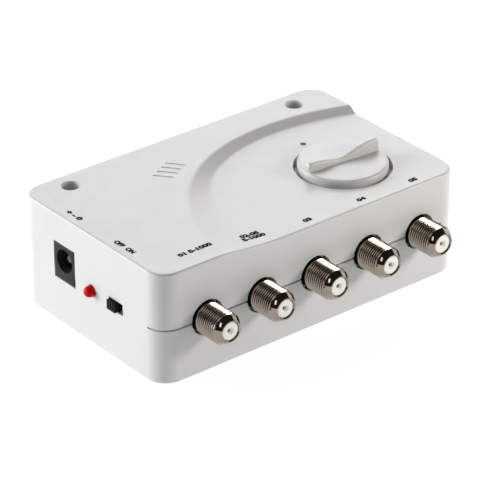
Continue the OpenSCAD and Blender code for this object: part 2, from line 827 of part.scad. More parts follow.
// Circuit board, with a hole for every lead and screw
module lead_holes(places, d) {
    for (p = places)
        translate([p.x, p.y, 0]) rod_z(d + 2 * pin_hole_gap, board_bottom - pad, board_top + pad);
}
module main_board() {
    color("darkgreen") difference() {
        span([-board_x, board_y, board_bottom], [board_x, board_back_y, board_top]);
        lead_holes(board_screws_at, board_screw_d);
        lead_holes(pot_pins_at(), pin_d);
        lead_holes(switch_pins_at(), pin_d);
        lead_holes(led_leads_at(), lead_d);
        lead_holes(jack_legs_at(), jack_leg_d);
        lead_holes([for (i = [1:port_count]) [port_x(i), tail_y]], tail_d);
    }
}
module board_screws() {
    color("silver") at_board_screws() {
        rod_z(board_head_d, board_top, board_top + board_head_h);
        rod_z(board_screw_d, board_bottom - board_screw_len + hair, board_top + hair);
    }
}

// Sheet-metal screen round the amplifier, which also carries the sockets
module shield_fence() {
    color("lightgray") difference() {
        union() {
            span([fence_x0, fence_y, board_top], [fence_x1, fence_back_y, fence_top]);
            span([fence_x0, fence_y, fence_foot], [fence_x1, flange_y, fence_top]);
        }
        span([fence_x0 + sheet_t, flange_y, board_top - pad],
             [fence_x1 - sheet_t, fence_back_y - sheet_t, fence_top + pad]);
        for (i = [1:port_count])
            at_port(i) rod_y(thread_d + 2 * hole_gap, fence_y - pad, flange_y + pad);
    }
}
module shield_lid() {
    color("lightgray") difference() {
        span([fence_x0 - lid_rim, fence_y, fence_top - rim_h],
             [fence_x1 + lid_rim, fence_back_y + lid_rim, fence_top + sheet_t]);
        span([fence_x0 - lid_gap, fence_y - pad, fence_top - rim_h - pad],
             [fence_x1 + lid_gap, fence_back_y + lid_gap, fence_top]);
        translate([knob_x, knob_y, 0]) rod_z(shaft_d + 4 * shaft_passage, fence_top - pad, fence_top + pad);
    }
}

// Parts soldered to the board
module amplifier_chip() {
    color("black") translate([port_x(2) + port_pitch / 2, chip_y, board_top]) {
        span([-chip_l / 2, -chip_w / 2, 0], [chip_l / 2, chip_w / 2, chip_h]);
        for (k = [-1.5:1.5])
            translate([k * chip_leg_pitch, 0, 0])
                span([-chip_leg_w / 2, -chip_w / 2 - chip_leg_l, 0],
                     [chip_leg_w / 2, chip_w / 2 + chip_leg_l, chip_leg_h]);
    }
}
module ferrite_cores() {
    color("dimgray") for (i = [1:3])
        translate([between_ports(i), core_y, 0]) difference() {
            rod_z(core_d, board_top, board_top + core_h);
            rod_z(core_bore_d, board_top - pad, board_top + core_h + pad);
        }
}
module chip_row(count, pitch, y) {
    for (k = [0:count - 1])
        translate([first_chip_x + k * pitch, y, board_top])
            span([-small_chip_l / 2, -small_chip_w / 2, 0],
                 [small_chip_l / 2, small_chip_w / 2, small_chip_h]);
}
module chip_resistors() {
    color("black") chip_row(resistor_count, resistor_pitch, resistor_y);
}
module chip_capacitors() {
    color("tan") chip_row(capacitor_chip_count, capacitor_chip_pitch, capacitor_chip_y);
}
module supply_capacitors() {
    groove_z = board_top + can_groove_z;
    color("midnightblue") for (k = [0, 1])
        translate([left_x + first_can_from_end + k * can_pitch, power_y, 0]) {
            rod_z(can_cap_d, board_top, groove_z);
            rod_z(can_cap_d - 2 * can_groove, groove_z - hair, groove_z + can_groove_h + hair);
            rod_z(can_cap_d, groove_z + can_groove_h, board_top + can_cap_h);
        }
}
module voltage_regulator() {
    color("black") translate([left_x + regulator_from_end, power_y, board_top]) {
        span([-regulator_l / 2, -regulator_w / 2, 0], [regulator_l / 2, regulator_w / 2, regulator_h]);
        span([-regulator_tab_l / 2, regulator_w / 2 - hair, 0],
             [regulator_tab_l / 2, regulator_w / 2 + regulator_tab_w, regulator_tab_h]);
    }
}
module choke_coil() {
    color("darkorange") translate([left_x + choke_from_end, power_y, 0]) {
        rod_z(choke_d, board_top, board_top + choke_rim);
        rod_z(choke_core_d, board_top + choke_rim - hair, board_top + choke_h - choke_rim + hair);
        rod_z(choke_d, board_top + choke_h - choke_rim, board_top + choke_h);
    }
}
module rectifier_diode() {
    bend_x = diode_len / 2 + diode_lead;
    color("black") translate([left_x + diode_from_end, power_y, board_top]) {
        translate([0, 0, diode_d / 2 + hair]) {
            rod_x(diode_d, -diode_len / 2, diode_len / 2);
            rod_x(pin_d, -bend_x, bend_x);
        }
        for (s = [-1, 1]) translate([s * bend_x, 0, 0]) rod_z(pin_d, 0, (diode_d + pin_d) / 2);
    }
}

top_cover();
base_tray();
case_screws();
gain_knob();
pot_shaft();
pot_wiper();
pot_housing();
pot_track();
pot_pins();
switch_slider();
switch_bridge();
switch_can();
switch_base();
switch_pins();
led_lens();
led_leads();
dc_jack_body();
dc_jack_pin();
dc_jack_leaf();
for (i = [1:port_count]) {
    f_socket(i);
    f_insulator(i);
    f_contact(i);
}
f_nuts();
f_washers();
main_board();
board_screws();
shield_fence();
shield_lid();
amplifier_chip();
ferrite_cores();
chip_resistors();
chip_capacitors();
supply_capacitors();
voltage_regulator();
choke_coil();
rectifier_diode();
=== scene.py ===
"""Looks of a television signal amplifier: a white two-part case with threaded coaxial sockets, a gain
knob in a sunken panel, and a power jack, pilot light and slide switch on its left end.

Metres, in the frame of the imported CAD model: +X along the row of sockets, +Y to the back, +Z up."""

import json
import math

import bmesh
import bpy
import numpy as np
from bpy.props import FloatProperty, FloatVectorProperty, IntProperty, PointerProperty
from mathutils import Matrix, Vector


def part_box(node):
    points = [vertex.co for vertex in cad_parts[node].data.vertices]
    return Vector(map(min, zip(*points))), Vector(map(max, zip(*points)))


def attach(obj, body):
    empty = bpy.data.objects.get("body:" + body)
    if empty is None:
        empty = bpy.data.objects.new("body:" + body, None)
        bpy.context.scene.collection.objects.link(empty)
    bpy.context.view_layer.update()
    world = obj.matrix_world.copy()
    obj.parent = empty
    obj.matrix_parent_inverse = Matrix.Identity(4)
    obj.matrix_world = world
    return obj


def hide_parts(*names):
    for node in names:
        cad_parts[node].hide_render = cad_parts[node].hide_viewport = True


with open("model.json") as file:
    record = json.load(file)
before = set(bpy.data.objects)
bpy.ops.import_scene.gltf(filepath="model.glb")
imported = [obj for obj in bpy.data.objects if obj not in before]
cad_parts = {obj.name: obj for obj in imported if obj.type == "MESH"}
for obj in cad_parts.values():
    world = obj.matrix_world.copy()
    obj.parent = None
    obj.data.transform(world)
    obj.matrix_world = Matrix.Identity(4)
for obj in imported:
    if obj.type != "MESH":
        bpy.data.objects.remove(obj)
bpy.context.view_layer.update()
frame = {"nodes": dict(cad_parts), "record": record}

bl_info = {
    "name": "Aerial Signal Amplifier",
    "version": (1, 0, 0),
    "blender": (4, 5, 0),
    "location": "View3D > Sidebar > Amplifier",
    "description": "Builds the visible pieces of a television signal amplifier round its CAD frame",
    "category": "Add Mesh",
}

MM = 0.001
UP = Vector((0, 0, 1))
PORTS = range(1, 6)

# How far a cutter reaches past what it cuts, what is merged, and what counts as the same place
PAST = 1.0 * MM
MERGE = 0.001 * MM
NEAR = 0.01 * MM

# Each axis of a turned piece, and the side of it on which the half outline is drawn
AXES = {
    "X": (Vector((1, 0, 0)), Vector((0, 1, 0))),
    "Y": (Vector((0, 1, 0)), Vector((1, 0, 0))),
    "Z": (UP, Vector((1, 0, 0))),
}

# The range that a noise texture mostly stays in
NOISE_RANGE = (0.3, 0.7)

# Metals of the inner parts, by slot: colour, roughness, stretch of the drawn marks
EVEN = (1, 1, 1)
METALS = {
    "zinc_steel": ((0.60, 0.61, 0.62), 0.34, EVEN),
    "tinplate": ((0.68, 0.69, 0.70), 0.3, (1, 6, 1)),
    "tinned_lead": ((0.72, 0.72, 0.70), 0.22, EVEN),
    "gold_contact": ((0.83, 0.62, 0.26), 0.24, EVEN),
    "copper_winding": ((0.66, 0.30, 0.13), 0.3, (1, 1, 9)),
}

# Their other materials, by slot: name, colour, roughness, grain in millimetres, mottling
MOULDINGS = {
    "black_plastic": ("black_moulding", (0.02, 0.02, 0.021), 0.42, 0.02, 0.2),
    "blue_plastic": ("blue_moulding", (0.07, 0.19, 0.42), 0.4, 0.02, 0.1),
    "brown_board": ("brown_board", (0.34, 0.2, 0.1), 0.5, 0.02, 0.25),
    "green_board": ("green_board", (0.03, 0.2, 0.09), 0.3, 0.03, 0.35),
    "ferrite": ("ferrite", (0.06, 0.06, 0.065), 0.6, 0.04, 0.3),
    "tan_ceramic": ("tan_ceramic", (0.58, 0.43, 0.28), 0.45, 0.02, 0.15),
    "blue_sleeve": ("blue_sleeve", (0.03, 0.045, 0.18), 0.22, 0.01, 0.15),
}

# Sign over each socket, then its millimetres right of the socket's axis and behind the front
PORT_SIGNS = (
    ("01 5-1000", 1.35, 7.1), ("02-05\n5-1000", 0.7, 5.7), ("03", -0.35, 3.6), ("04", -0.1, 3.4),
    ("05", -0.3, 3.0),
)

# Lights: direction from the case, metres away, width and height in metres, watts, colour
WHITE, WARM = (1, 1, 1), (1, 0.96, 0.88)
LIGHTS = {
    "back_left": ((-0.686, 0.686, 0.242), 1.6, (1.0, 1.0), 37.4, WHITE),
    "back_right": ((0.44, 0.63, 0.643), 1.6, (1.0, 1.0), 11.5, WHITE),
    "back_right_low": ((0.686, 0.686, 0.242), 1.6, (1.0, 1.0), 5.7, WHITE),
    "right": ((0.970, 0.0, 0.242), 1.6, (1.0, 1.0), 4.0, WHITE),
    "front_card": ((0.60, -0.73, 0.33), 0.34, (0.10, 0.10), 0.64, WARM),
    "streak_card": ((-0.06, -0.967, 0.244), 0.5, (0.12, 0.12), 0.06, WARM),
    "catch_light": ((-0.67, -0.416, 0.6155), 0.7, (0.15, 0.32), 0.4, WHITE),
}


def length(label, text, millimetres):
    """A length property, given in millimetres and kept in metres."""
    return FloatProperty(name=label, description=text, default=millimetres * MM, min=0, unit="LENGTH")


def place(label, text, x, y):
    """A pair of lengths, given in millimetres and kept in metres."""
    return FloatVectorProperty(
        name=label, description=text, size=2, default=(x * MM, y * MM), unit="LENGTH"
    )


def amount(label, text, value):
    """A plain number that is not negative."""
    return FloatProperty(name=label, description=text, default=value, min=0)


def angle(label, text, degrees):
    """An angle property, given in degrees."""
    return FloatProperty(name=label, description=text, default=math.radians(degrees), subtype="ANGLE")


def tint(label, text, red, green, blue):
    """A colour property."""
    return FloatVectorProperty(
        name=label, description=text, size=3, default=(red, green, blue), min=0, max=1, subtype="COLOR"
    )


class CaseSettings(bpy.types.PropertyGroup):
    """Sizes and colours of the case."""

    corner_radius: length("Corner radius", "Radius of the upright corners", 6.3)
    edge_round: length("Top rounding", "Rounding of the top edge", 0.6)
    base_round: length("Base rounding", "Rounding of the edge the case stands on", 0.7)
    wall: length("Wall", "Thickness of the walls", 2.0)
    roof: length("Roof", "Thickness of the roof under the sunken panel", 2.0)
    floor: length("Floor", "Thickness of the tray's floor", 2.2)
    post: length("Screw post", "Diameter of the post round a case screw", 5.2)
    head_bore: length("Head bore", "Diameter of the hole for the head of a case screw", 4.8)
    head_depth: length("Head depth", "Depth of that hole, from the foot of the screw", 1.8)
    seam_groove: length("Seam groove", "Bevel of the cover along the seam", 0.1)
    seam_set: length("Seam set", "How far the tray is set back under the cover", 0.1)
    seam_gap: length("Seam gap", "Open gap along the front of the seam, between the sockets", 0.55)
    gap_depth: length("Gap depth", "Depth of that gap", 0.9)
    lip_height: length("Lip height", "Height of the tray's tongue", 1.5)
    lip: length("Lip", "Thickness of the tray's tongue", 0.9)
    lip_gap: length("Lip gap", "Clearance round the tongue", 0.12)
    step: length("Step", "Depth of the sunken panel", 1.9)
    foot_half: place("Foot oval", "Half axes of the oval at the foot of the slope", 45.9, 33.6)
    foot_centre: place("Foot centre", "Centre of the foot oval from the knob's axis", 2.9, -5.6)
    foot_turn: angle("Foot turn", "Turn of the foot oval", -6.9)
    head_half: place("Head oval", "Half axes of the oval at the head of the slope", 124.6, 81.8)
    head_centre: place("Head centre", "Centre of the head oval from the knob's axis", 31.6, -82.3)
    head_turn: angle("Head turn", "Turn of the head oval", -56.7)
    slope_ease: FloatProperty(
        name="Slope ease", description="Share of the slope that is rounded at each of its edges",
        default=0.2, min=0.01, max=0.5, subtype="FACTOR",
    )
    fixing_from_end: length("Fixing from end", "Wall-screw holes to the ends of the case", 13.0)
    fixing_from_back: length("Fixing from back", "Wall-screw holes to the back of the case", 6.4)
    fixing_bore: length("Fixing bore", "Diameter of a wall-screw hole", 5.0)
    fixing_tube: length("Fixing tube", "Outer diameter of the tube round a wall-screw hole", 8.4)
    fixing_bevel: length("Fixing bevel", "Bevel round the mouth of a wall-screw hole", 0.35)
    port_gap: length("Port gap", "Dark clearance round each socket", 0.65)
    port_reach: length("Port reach", "How far the socket openings reach past the wall", 0.15)
    end_gap: length("End gap", "Clearance round the jack and the pilot light", 0.2)
    slot_gap: length("Slot gap", "Clearance above and below the switch button", 0.3)
    slot_play: length("Slot play", "Clearance at both ends of the button's travel", 0.5)
    slot_travel: length("Slot travel", "Travel of the switch", 1.6)
    button_size: place("Button", "Width and height of the switch button", 3.8, 3.0)
    groove_count: IntProperty(name="Grooves", description="Number of grooves", default=4, min=1)
    groove_middle: place("Groove middle", "Middle of the grooves from the knob's axis", -42.7, 26.1)
    groove_size: place("Groove size", "Length and width of a groove", 6.2, 1.1)
    groove_step: place("Groove step", "Step from one groove to the next, along and across it", 0.5, 2.7)
    groove_depth: length("Groove depth", "Depth of a groove", 0.2)
    groove_turn: angle("Groove turn", "Turn of the grooves", -52)
    white: tint("White", "Colour of the case", 0.57, 0.57, 0.57)


class KnobSettings(bpy.types.PropertyGroup):
    """Sizes and colours of the gain knob and its well."""

    well_gap: length("Well gap", "Gap round the knob in its well", 1.2)
    well_depth: length("Well depth", "Depth of the well below the sunken panel", 2.4)
    well_wall: length("Well wall", "Thickness of the well's wall", 1.2)
    shaft_hole: length("Shaft hole", "Diameter of the hole for the shaft", 7.2)
    disc_rise: length("Disc rise", "Height of the disc above the sunken panel", 2.0)
    rim_round: length("Rim rounding", "Rounding of the disc's rim", 0.9)
    bar_reach: place("Bar reach", "Reach of the finger bar, left and right of the axis", 12.7, 12.0)
    bar_fall: length("Bar fall", "How much lower the finger bar is at its left end", 1.3)
    bar_foot: length("Bar foot", "Thickness of the finger bar at its foot", 2.7)
    bar_top: length("Bar top", "Thickness of the finger bar at its top", 2.0)
    bar_round: length("Bar rounding", "Rounding of the finger bar's top edges", 0.6)
    bar_ends: place("Bar ends", "Rounding of the finger bar's left and right ends", 1.0, 0.4)
    bar_dip: length("Bar hollow", "Depth of the hollow in the finger bar's back", 1.9)
    dip_reach: length("Hollow reach", "Half length of that hollow", 5.6)
    dip_place: length("Hollow place", "Middle of that hollow, left of the knob's axis", 1.2)
    bar_turn: angle("Bar turn", "Turn of the finger bar from the case's length", -3.3)
    skirt: length("Skirt", "Thickness of the knob's skirt", 1.6)
    roof: length("Roof", "Thickness of the disc", 2.0)
    shaft: length("Shaft", "Diameter of the shaft in the knob", 6.06)
    hub: length("Hub", "Diameter of the hub", 9.6)
    mark_distance: length("Mark distance", "Index mark to the knob's axis", 17.7)
    mark: length("Mark", "Diameter of the index mark", 1.9)
    mark_depth: length("Mark depth", "Depth of the index mark", 0.5)
    paint_rise: length("Paint rise", "Gap under the paint in the index mark", 0.05)
    paint_sink: length("Paint sink", "How far that paint lies below the panel", 0.1)
    paint_gap: length("Paint gap", "Gap round that paint", 0.038)
    paint_round: length("Paint rounding", "Rounding of that paint's edge", 0.05)
    white: tint("White", "Colour of the knob", 0.57, 0.57, 0.57)


class SocketSettings(bpy.types.PropertyGroup):
    """Sizes and colours of the coaxial sockets."""

    thread: length("Thread", "Diameter over the thread", 9.5)
    pitch: length("Pitch", "Distance from one thread crest to the next", 0.794)
    thread_depth: length("Thread depth", "Height of the thread", 0.5)
    thread_length: length("Thread length", "Length of thread in front of the case", 8.4)
    thread_end: length("Thread end", "Plain length behind the last turn of the thread", 0.3)
    root_share: amount("Root share", "Half of the thread's root, as a share of the pitch", 0.07)
    crest_share: amount("Crest share", "Half of the thread's crest, as a share of the pitch", 0.05)
    nose: length("Nose", "Diameter of the nose where the thread ends", 9.0)
    bulge: length("Bulge", "How far the nose bulges out of a straight cone", 0.12)
    tip: length("Tip", "Diameter of the flat ring at the tip", 6.6)
    mouth: place("Mouth bevel", "Width and depth of the bevel in the mouth", 0.2, 0.25)
    bore_gap: length("Bore gap", "Gap round the insulator", 0.03)
    relief: length("Relief", "Diameter of the groove behind the thread", 8.9)
    relief_length: length("Relief length", "Length of the groove behind the thread", 0.8)
    collar: length("Collar", "Thickness of the collar inside the case", 2.0)
    insulator: length("Insulator", "Diameter of the insulator", 5.6)
    neck: length("Neck", "Diameter of the insulator's neck, at its back", 4.6)
    neck_length: length("Neck length", "Length of that neck", 1.4)
    wire_hole: length("Wire hole", "Diameter of the hole for the cable's wire", 1.3)
    hole_depth: length("Hole depth", "Depth of that hole", 2.0)
    contact_hole: length("Contact hole", "Diameter of the hole for the contact behind it", 1.86)
    funnel: place("Funnel", "Width and depth of the funnel round the wire hole", 0.5, 0.5)
    funnel_lip: length("Funnel lip", "Outer edge of the funnel, behind the face", 0.08)
    face_edge: place("Face edge", "Inner and outer start of the rounding of the face", 0.45, 0.12)
    face_fall: place("Face fall", "Fall of that rounding, halfway and at its end", 0.1, 0.35)
    plating: tint("Plating", "Colour of the plating", 0.34, 0.29, 0.245)
    stained: amount("Stained plating", "Darkest share of the plating's colour in front", 0.86)
    # Painted shade: inside the case's wall the plating is darkened to this share of its colour, over the
    # run below, where the gap round each socket lies in shade
    shadowed: amount("Inner plating", "Share of the plating's colour inside the wall", 0.04)
    painted_shade_run: place("Painted shade run", "Start and end of that change, from the front of the case", -0.2, 0.1)
    polish: amount("Nose finish", "Roughness of the nose", 0.07)
    satin: amount("Thread finish", "Roughness of the thread", 0.2)
    ivory: tint("Insulator colour", "Colour of the insulator", 0.78, 0.79, 0.75)


class EndSettings(bpy.types.PropertyGroup):
    """Sizes and colours of the jack, the pilot light and the switch button."""

    jack_round: length("Jack rounding", "Rounding of the jack's edges", 0.35)
    jack_bore: length("Jack bore", "Diameter of the jack's mouth", 6.4)
    jack_axis: length("Jack axis", "Middle of the mouth above the side contact", 3.2)
    bore_depth: length("Bore depth", "Depth of the mouth", 10.0)
    flare: length("Flare", "Widening of the mouth at the jack's face", 0.4)
    flare_run: place("Flare run", "Start and end of the narrowing, behind the face", 0.1, 0.9)
    leaf_play: length("Contact play", "Gap round the side contact in its slot", 0.1)
    leaf_sink: length("Contact sink", "Depth of the slot below the contact's top", 0.5)
    black: tint("Jack colour", "Colour of the jack", 0.014, 0.014, 0.013)
    light_flange: length("Light flange", "Width of the pilot light's flange", 0.4)
    flange_length: length("Flange length", "Thickness of that flange", 1.0)
    red: tint("Red", "Brighter red of the pilot light", 0.56, 0.004, 0.002)
    deep_red: tint("Deep red", "Deeper red of the pilot light", 0.44, 0.002, 0.001)
    block_back: length("Slider block", "Slider's block behind the wall", 1.15)
    nub_root: length("Button root", "How far the button sinks into that block", 0.2)
    nub_round: length("Button rounding", "Rounding of the button's edges", 0.2)
    ridge_groove: place("Button grooves", "Width and depth of the button's grooves", 0.28, 0.3)
    button_black: tint("Button colour", "Colour of the button", 0.004, 0.004, 0.004)


class PrintSettings(bpy.types.PropertyGroup):
    """Sizes and colours of the printed marks."""

    height: length("Height", "Size of the printed signs", 2.1)
    bold: length("Boldness", "Thickening of the strokes", 0.16)
    stretch: amount("Stretch", "Width of the signs by the sockets", 1.3)
    jack_stretch: amount("Jack stretch", "Width of the signs by the jack", 1.56)
    line_space: amount("Line spacing", "Spacing of the lines of a sign", 0.92)
    film: length("Film", "Thickness of the ink", 0.02)
    from_left: length("From left", "Middle of the marks at the left to the left end", 3.35)
    switch_rows: place("Switch rows", "OFF and ON, behind the middle of the button", 1.5, -3.5)
    jack_row: length("Jack row", "Signs by the jack, in front of the jack's middle", 0.6)
    ink: tint("Ink", "Colour of the ink", 0.012, 0.012, 0.013)
    paint: tint("Paint", "Colour of the paint in the index mark", 0.13, 0.13, 0.13)


class StageSettings(bpy.types.PropertyGroup):
    """Camera, floor and room."""

    azimuth: angle("Azimuth", "Camera's turn to the left of the case's front", 38.877)
    elevation: angle("Elevation", "Camera's height above the horizon", 28.938)
    distance: length("Distance", "Camera to the middle of the case", 859.0)
    lens: FloatProperty(name="Lens", description="Focal length", default=224.95, unit="CAMERA")
    sensor: FloatProperty(name="Sensor", description="Width of the sensor", default=36, unit="CAMERA")
    aim_height: length("Aim height", "Height of what the lights and the camera face", 17.17)
    aim: place("Aim", "Camera's aim, right of and above that point", -0.457, -2.942)
    floor: tint("Floor", "Colour of the floor", 0.16, 0.16, 0.16)
    floor_size: length("Floor size", "Side of the floor", 6000)
    floor_gap: length("Floor gap", "Gap between the case and the floor", 0.02)
    glow: amount("Floor glow", "Light that the floor gives of itself, as a light table does", 0.9)
    room: tint("Room colour", "Colour of the room's light", 1, 0.95, 0.88)
    room_light: amount("Room light", "Strength of the room's light", 0.03)


# Places read from the frame

case_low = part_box("base_tray")[0]
case_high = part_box("top_cover")[1]
case_width = case_high.x - case_low.x
case_depth = case_high.y - case_low.y
case_height = case_high.z
seam_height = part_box("top_cover")[0].z


def middle(node):
    """The centre of a CAD node's box."""
    low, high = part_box(node)
    return (low + high) / 2


knob_axis = Vector((*middle("gain_knob").xy, 0))


# Selection and small modelling steps

def clear_selection():
    """Goes back to object mode with nothing selected."""
    if bpy.context.object is not None and bpy.context.object.mode != "OBJECT":
        bpy.ops.object.mode_set(mode="OBJECT")
    bpy.ops.object.select_all(action="DESELECT")


def activate(obj):
    """Makes one object the only selected one."""
    clear_selection()
    obj.select_set(True)
    bpy.context.view_layer.objects.active = obj


def settle(name):
    """Names the active object and puts its place into its mesh."""
    obj = bpy.context.active_object
    bpy.ops.object.transform_apply(location=True, rotation=True, scale=True)
    obj.name = name
    obj.data.name = name
    return obj


def add_block(name, low, high):
    """A cube between two corners."""
    clear_selection()
    low, high = Vector(low), Vector(high)
    bpy.ops.mesh.primitive_cube_add(size=1, location=(low + high) / 2, scale=high - low)
    return settle(name)


def add_rod(name, start, end, radius, sides=64):
    """A cylinder between two points."""
    clear_selection()
    start, end = Vector(start), Vector(end)
    run = end - start
    bpy.ops.mesh.primitive_cone_add(
        vertices=sides, radius1=radius, radius2=radius, depth=run.length,
        location=(start + end) / 2, rotation=run.to_track_quat("Z", "Y").to_euler(),
    )
    return settle(name)


def add_post(name, spot, foot, top, radius, sides=64):
    """An upright cylinder at a spot, between two heights."""
    return add_rod(name, spot + UP * foot, spot + UP * top, radius, sides)


def pick(kind, test):
    """In edit mode, selects just the faces, edges or vertices that pass a test."""
    bpy.ops.mesh.select_mode(type=kind)
    bpy.ops.mesh.select_all(action="DESELECT")
    mesh = bpy.context.edit_object.data
    shape = bmesh.from_edit_mesh(mesh)
    for item in {"FACE": shape.faces, "EDGE": shape.edges, "VERT": shape.verts}[kind]:
        if test(item):
            item.select_set(True)
    shape.select_flush_mode()
    bmesh.update_edit_mesh(mesh)


def edge_middle(edge):
    """The middle of an edge."""
    return (edge.verts[0].co + edge.verts[1].co) / 2


def edge_run(edge):
    """The vector along an edge."""
    return edge.verts[1].co - edge.verts[0].co


def close_up(obj):
    """Merges doubles and turns all faces outwards."""
    activate(obj)
    bpy.ops.object.mode_set(mode="EDIT")
    bpy.ops.mesh.select_all(action="SELECT")
    bpy.ops.mesh.remove_doubles(threshold=MERGE)
    bpy.ops.mesh.normals_make_consistent(inside=False)
    bpy.ops.object.mode_set(mode="OBJECT")
    return obj


def join(name, pieces):
    """Joins objects into one."""
    activate(pieces[0])
    for piece in pieces[1:]:
        piece.select_set(True)
    bpy.ops.object.join()
    return settle(name)


def combine(target, other, operation):
    """Adds another solid to a solid, or cuts it away."""
    activate(target)
    bpy.ops.object.modifier_add(type="BOOLEAN")
    modifier = target.modifiers[-1]
    modifier.operation = operation
    modifier.solver = "EXACT"
    modifier.object = other
    bpy.ops.object.modifier_apply(modifier=modifier.name)
    bpy.data.objects.remove(other)
    return target


def round_edges(obj, width, segments=3, limit=30):
    """Rounds the sharp edges of a solid."""
    activate(obj)
    bpy.ops.object.modifier_add(type="BEVEL")
    modifier = obj.modifiers[-1]
    modifier.width = width
    modifier.segments = segments
    modifier.limit_method = "ANGLE"
    modifier.angle_limit = math.radians(limit)
    bpy.ops.object.modifier_apply(modifier=modifier.name)
    return obj


def repeat(piece, runs):
    """Copies of a piece, each with its own mesh, at their places; the piece itself is the first."""
    name = piece.name
    pieces = [piece]
    for run in runs[1:]:
        activate(piece)
        bpy.ops.object.duplicate(linked=False)
        bpy.context.active_object.location = run
        pieces.append(settle(f"{name}_{len(pieces) + 1}"))
    piece.name = piece.data.name = f"{name}_1"
    return pieces


def smooth(obj, degrees=35):
    """Smooth shading, with edges sharper than an angle kept crisp."""
    activate(obj)
    bpy.ops.object.shade_smooth_by_angle(angle=math.radians(degrees))
    return obj


def dress(obj, material, body, nodes):
    """Gives a finished piece its material and body, and hides the CAD nodes it stands for."""
    obj.data.materials.clear()
    obj.data.materials.append(material)
    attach(obj, body)
    if nodes:
        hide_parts(*nodes)
    return obj


def draw_line(points):
    """In a new mesh, draws a line by extruding one vertex from point to point, and selects it."""
    clear_selection()
    points = [Vector(point) for point in points]
    bpy.ops.mesh.primitive_plane_add(size=MM, location=(0, 0, 0))
    bpy.ops.object.mode_set(mode="EDIT")
    bpy.ops.mesh.select_mode(type="VERT")
    bpy.ops.mesh.select_all(action="SELECT")
    bpy.ops.mesh.merge(type="CENTER")
    bpy.ops.transform.translate(value=points[0])
    for here, there in zip(points, points[1:]):
        bpy.ops.mesh.extrude_vertices_move(TRANSFORM_OT_translate={"value": there - here})
    bpy.ops.mesh.select_all(action="SELECT")


def spin_profile(name, outline, centre, axis, steps=72):
    """A solid of revolution: a half outline of radii and places along an axis, spun round it."""
    along, out = AXES[axis]
    foot = centre - along * centre.dot(along)
    draw_line([foot + out * radius + along * reach for radius, reach in outline])
    bpy.ops.mesh.spin(steps=steps, angle=2 * math.pi, center=foot, axis=along)
    bpy.ops.object.mode_set(mode="OBJECT")
    return close_up(settle(name))


def rounding(radius, steps, first=0):
    """Insets and drops that round off an edge step by step, from its side to its top."""
    turns = [math.radians(90 * step / steps) for step in range(first, steps + 1)]
    return [(radius * (1 - math.cos(turn)), radius * (1 - math.sin(turn))) for turn in turns]


# Materials

def shader(name):
    """A new material with its shader, node tree and Object coordinates."""
    material = bpy.data.materials.new(name)
    material.use_nodes = True
    tree = material.node_tree
    principled = tree.nodes["Principled BSDF"]
    coordinates = tree.nodes.new("ShaderNodeTexCoord")
    return material, principled, tree, coordinates.outputs["Object"]


def feed(tree, node, inputs):
    """Sets a node's inputs, or links those that come from another node."""
    for name, value in inputs.items():
        if isinstance(value, bpy.types.NodeSocket):
            tree.links.new(value, node.inputs[name])
        else:
            node.inputs[name].default_value = value
    return node


def add_node(tree, kind, inputs):
    """A new node with its inputs."""
    return feed(tree, tree.nodes.new(kind), inputs)


def noise(tree, where, scale, detail=3.0, stretch=EVEN):
    """A noise texture, in cycles a metre, optionally stretched."""
    mapping = add_node(tree, "ShaderNodeMapping", {"Vector": where, "Scale": stretch})
    texture = add_node(tree, "ShaderNodeTexNoise", {
        "Vector": mapping.outputs["Vector"], "Scale": scale, "Detail": detail,
    })
    return texture.outputs["Fac"]


def ramp(tree, fac, low, high):
    """A blend of two colours by a texture."""
    blend = add_node(tree, "ShaderNodeValToRGB", {"Fac": fac})
    for stop, position, colour in zip(blend.color_ramp.elements, NOISE_RANGE, (low, high)):
        stop.position = position
        stop.color = (*colour, 1)
    return blend.outputs["Color"]


def spread(tree, value, low, high, span=NOISE_RANGE):
    """A value, by default a texture's, spread from its own span to another."""
    scale = add_node(tree, "ShaderNodeMapRange", {
        "Value": value, "From Min": span[0], "From Max": span[1], "To Min": low, "To Max": high,
    })
    return scale.outputs["Result"]


def bump(tree, fac, depth, strength):
    """Relief on a surface, of a depth in metres."""
    relief = add_node(tree, "ShaderNodeBump", {"Height": fac, "Distance": depth, "Strength": strength})
    return relief.outputs["Normal"]


def shade(colour, share):
    """A colour made darker or lighter by a share."""
    return tuple(min(1.0, channel * share) for channel in colour)


def moulded_plastic(name, colour, rough=0.4, grain=0.02, mottle=0.03, shine=0.5):
    """Moulded plastic: a fine spark-eroded grain and faint clouding from the mould."""
    cloud_scale, sheen_scale, grain_scale = 90, 400, 4200
    uneven, relief = 0.05, 0.35
    material, principled, tree, where = shader(name)
    cloud = noise(tree, where, cloud_scale, 4)
    sheen = noise(tree, where, sheen_scale, 4)
    pits = noise(tree, where, grain_scale, 2)
    feed(tree, principled, {
        "Base Color": ramp(tree, cloud, shade(colour, 1 - mottle), colour),
        "Roughness": spread(tree, sheen, rough - uneven, rough + uneven),
        "Normal": bump(tree, pits, grain * MM, relief),
        "Specular IOR Level": shine,
    })
    return material


def plated_metal(name, colour, rough=0.26, streak=EVEN):
    """Plated metal with fine drawn marks and faint stains."""
    stain_scale, mark_scale = 260, 2600
    stained, uneven, mark_depth, relief = 0.88, 0.07, 0.004 * MM, 0.3
    material, principled, tree, where = shader(name)
    stain = noise(tree, where, stain_scale, 4)
    marks = noise(tree, where, mark_scale, 3, streak)
    feed(tree, principled, {
        "Base Color": ramp(tree, stain, shade(colour, stained), colour),
        "Roughness": spread(tree, marks, rough - uneven, rough + uneven),
        "Normal": bump(tree, marks, mark_depth, relief),
        "Metallic": 1.0,
    })
    return material


# The case

